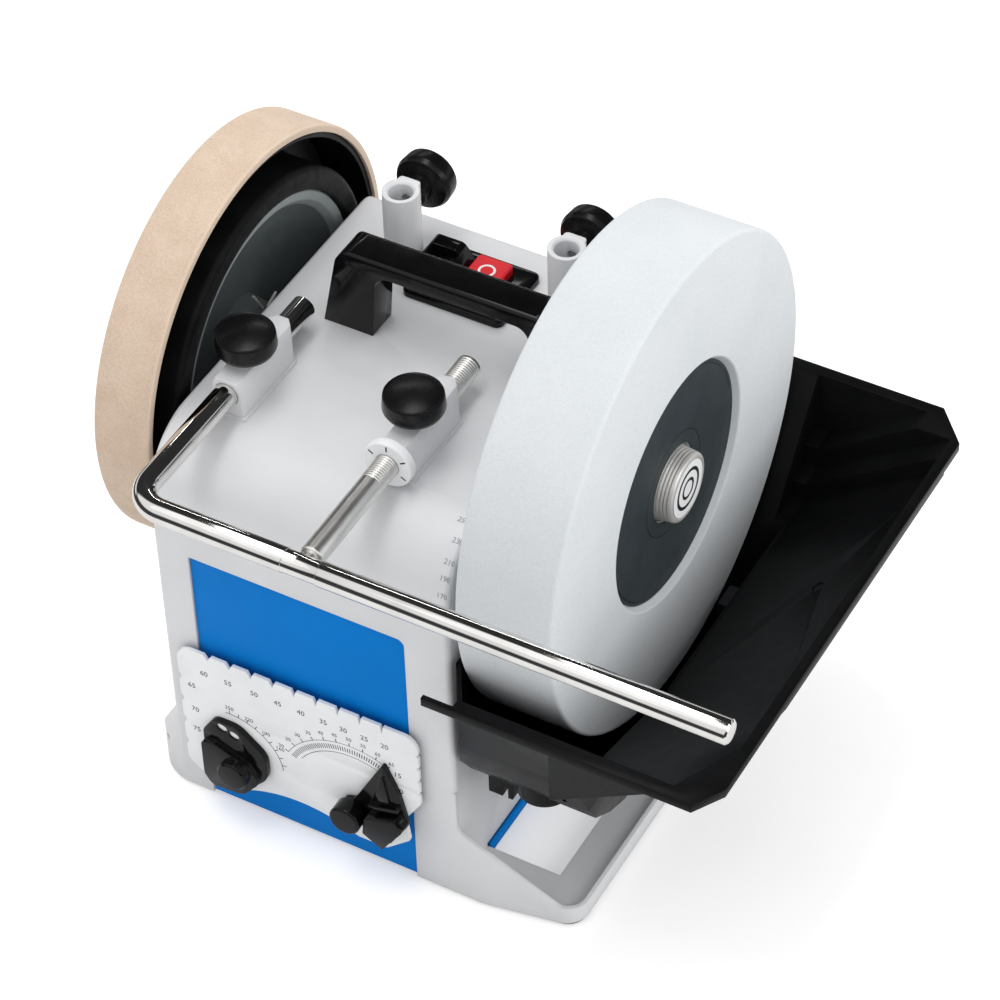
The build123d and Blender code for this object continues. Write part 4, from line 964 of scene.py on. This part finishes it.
class GRINDER_OT_stage(bpy.types.Operator):
    """Builds the white room, the pale floor, the soft lamps and the camera."""

    bl_idname = "grinder.stage"
    bl_label = "Stage"

    def execute(self, context):
        scene = context.scene
        props = scene.grinder_stage
        scene.view_settings.view_transform = "Standard"
        self.room(scene, props)
        self.floor()
        self.lamp("key_lamp", (-0.60, -1.10, 2.1), (1.5, 1.5), props.key_power)
        self.lamp("side_lamp", (1.8, 0.15, 0.8), (1.2, 1.2), props.side_power)
        self.lamp("top_lamp", (-0.35, -0.03, 2.4), (1.9, 0.6), props.top_power)
        self.lamp("strip_lamp", (-1.05, 1.5, 1.43), (1.0, 0.05), props.strip_power)
        self.camera(scene, props.lens)
        return {"FINISHED"}

    def room(self, scene, props):
        """A white room with an even light, which polished metal sees dark low in front and high behind."""
        world = scene.world or bpy.data.worlds.new("studio")
        scene.world = world
        world.use_nodes = True
        world.cycles.sampling_method = "NONE"
        tree = world.node_tree
        tree.nodes.clear()
        path = node(tree, "ShaderNodeLightPath", {}).outputs
        ray = node(tree, "ShaderNodeTexCoord", {}).outputs["Generated"]
        axes = node(tree, "ShaderNodeSeparateXYZ", {"Vector": ray}).outputs
        behind = ease(tree, axes["Y"], -0.10, 0.08, smooth=True)
        before = ease(tree, axes["Z"], 0.12, 0.32, 0.04, props.gloss, smooth=True)
        after = ease(tree, axes["Z"], 0.10, 0.24, props.gloss, 0.03, smooth=True)
        sheen = ease(tree, behind, 0.0, 1.0, before, after)
        light = ease(tree, path["Is Glossy Ray"], 0.0, 1.0, props.ambient, sheen)
        strength = ease(tree, path["Is Camera Ray"], 0.0, 1.0, light, 1.0)
        back = node(tree, "ShaderNodeBackground", {"Color": (1.0, 1.0, 1.0, 1.0), "Strength": strength})
        node(tree, "ShaderNodeOutputWorld", {"Surface": back.outputs["Background"]})

    def floor(self):
        """A pale floor that keeps the machine's shadow and that polished metal sees only close by."""
        floor = begin("floor", bpy.ops.mesh.primitive_plane_add, size=24.0, location=(0, 0, 0))
        bpy.ops.mesh.subdivide(number_cuts=3)
        bpy.ops.object.mode_set(mode="OBJECT")
        pale, tree, shader, place = new_finish("pale_floor")
        path = node(tree, "ShaderNodeLightPath", {}).outputs
        near = mottle(tree, noise(tree, place, 1.2), (0.80, 0.80, 0.80), (0.82, 0.82, 0.82))
        far = ease(tree, length_of(tree, place), 0.75, 0.95)
        gone = calculate(tree, "MULTIPLY", far, path["Is Glossy Ray"])
        lift = calculate(tree, "MULTIPLY", path["Is Camera Ray"], 0.38)
        tone = blend_colours(tree, gone, near, (0.05, 0.05, 0.055, 1.0))
        connect(tree, shader, Base_Color=tone, Roughness=0.9, Specular_IOR_Level=0.0,
                Emission_Color=(1.0, 1.0, 1.0, 1.0), Emission_Strength=lift)
        floor.data.materials.append(pale)

    def lamp(self, name, place, size, power):
        """A soft lamp that looks at the machine."""
        bpy.ops.object.light_add(type="AREA", location=place)
        light = bpy.context.object
        light.name = name
        light.data.shape = "RECTANGLE"
        light.data.size, light.data.size_y = size
        light.data.energy = power
        middle = (CAD_BOX[0] + CAD_BOX[1]) / 2
        light.rotation_euler = (middle - Vector(place)).to_track_quat("-Z", "Y").to_euler()

    def camera(self, scene, lens):
        """A camera at the photograph's viewpoint."""
        bpy.ops.object.camera_add(location=CAMERA_PLACE)
        camera = bpy.context.object
        camera.name = "photo_camera"
        turn = Matrix.Rotation(CAMERA_HEADING, 3, "Z") @ Matrix.Rotation(math.pi / 2 - CAMERA_DIP, 3, "X")
        camera.rotation_euler = (turn @ Matrix.Rotation(CAMERA_ROLL, 3, "Z")).to_euler()
        camera.data.lens = lens
        camera.data.sensor_width = 36.0
        scene.camera = camera


PIECES = (GRINDER_OT_finishes, GRINDER_OT_stone, GRINDER_OT_stone_nut, GRINDER_OT_honing_wheel,
          GRINDER_OT_tool_support, GRINDER_OT_lock_knobs, GRINDER_OT_softened, GRINDER_OT_gauge_print,
          GRINDER_OT_dial_windows, GRINDER_OT_hub_pin, GRINDER_OT_switch_signs, GRINDER_OT_casing_scale,
          GRINDER_OT_stage)
SETTINGS = {"grinder_stone": GrinderStoneSettings, "grinder_honing": GrinderHoningSettings,
            "grinder_casing": GrinderCasingSettings, "grinder_support": GrinderSupportSettings,
            "grinder_stage": GrinderStageSettings}


class GRINDER_PT_panel(bpy.types.Panel):
    """The sidebar's list of the machine's pieces and settings."""

    bl_idname = "GRINDER_PT_panel"
    bl_label = "Wet Sharpening Machine"
    bl_space_type = "VIEW_3D"
    bl_region_type = "UI"
    bl_category = "Grinder"

    def draw(self, context):
        for piece in PIECES:
            self.layout.operator(piece.bl_idname)
        for name in SETTINGS:
            group = getattr(context.scene, name)
            box = self.layout.box()
            for prop in group.__annotations__:
                box.prop(group, prop)


def register():
    for name, settings in SETTINGS.items():
        bpy.utils.register_class(settings)
        setattr(bpy.types.Scene, name, bpy.props.PointerProperty(type=settings))
    for kind in (*PIECES, GRINDER_PT_panel):
        bpy.utils.register_class(kind)


def unregister():
    for kind in reversed((*PIECES, GRINDER_PT_panel)):
        bpy.utils.unregister_class(kind)
    for name, settings in SETTINGS.items():
        delattr(bpy.types.Scene, name)
        bpy.utils.unregister_class(settings)


def main():
    register()
    bpy.ops.object.select_all(action="DESELECT")
    bpy.ops.grinder.finishes()
    bpy.ops.grinder.stone()
    bpy.ops.grinder.stone_nut()
    bpy.ops.grinder.honing_wheel()
    bpy.ops.grinder.tool_support()
    bpy.ops.grinder.lock_knobs()
    bpy.ops.grinder.softened()
    bpy.ops.grinder.gauge_print()
    bpy.ops.grinder.dial_windows()
    bpy.ops.grinder.hub_pin()
    bpy.ops.grinder.switch_signs()
    bpy.ops.grinder.casing_scale()
    bpy.ops.grinder.stage()


if __name__ == "__main__":
    main()
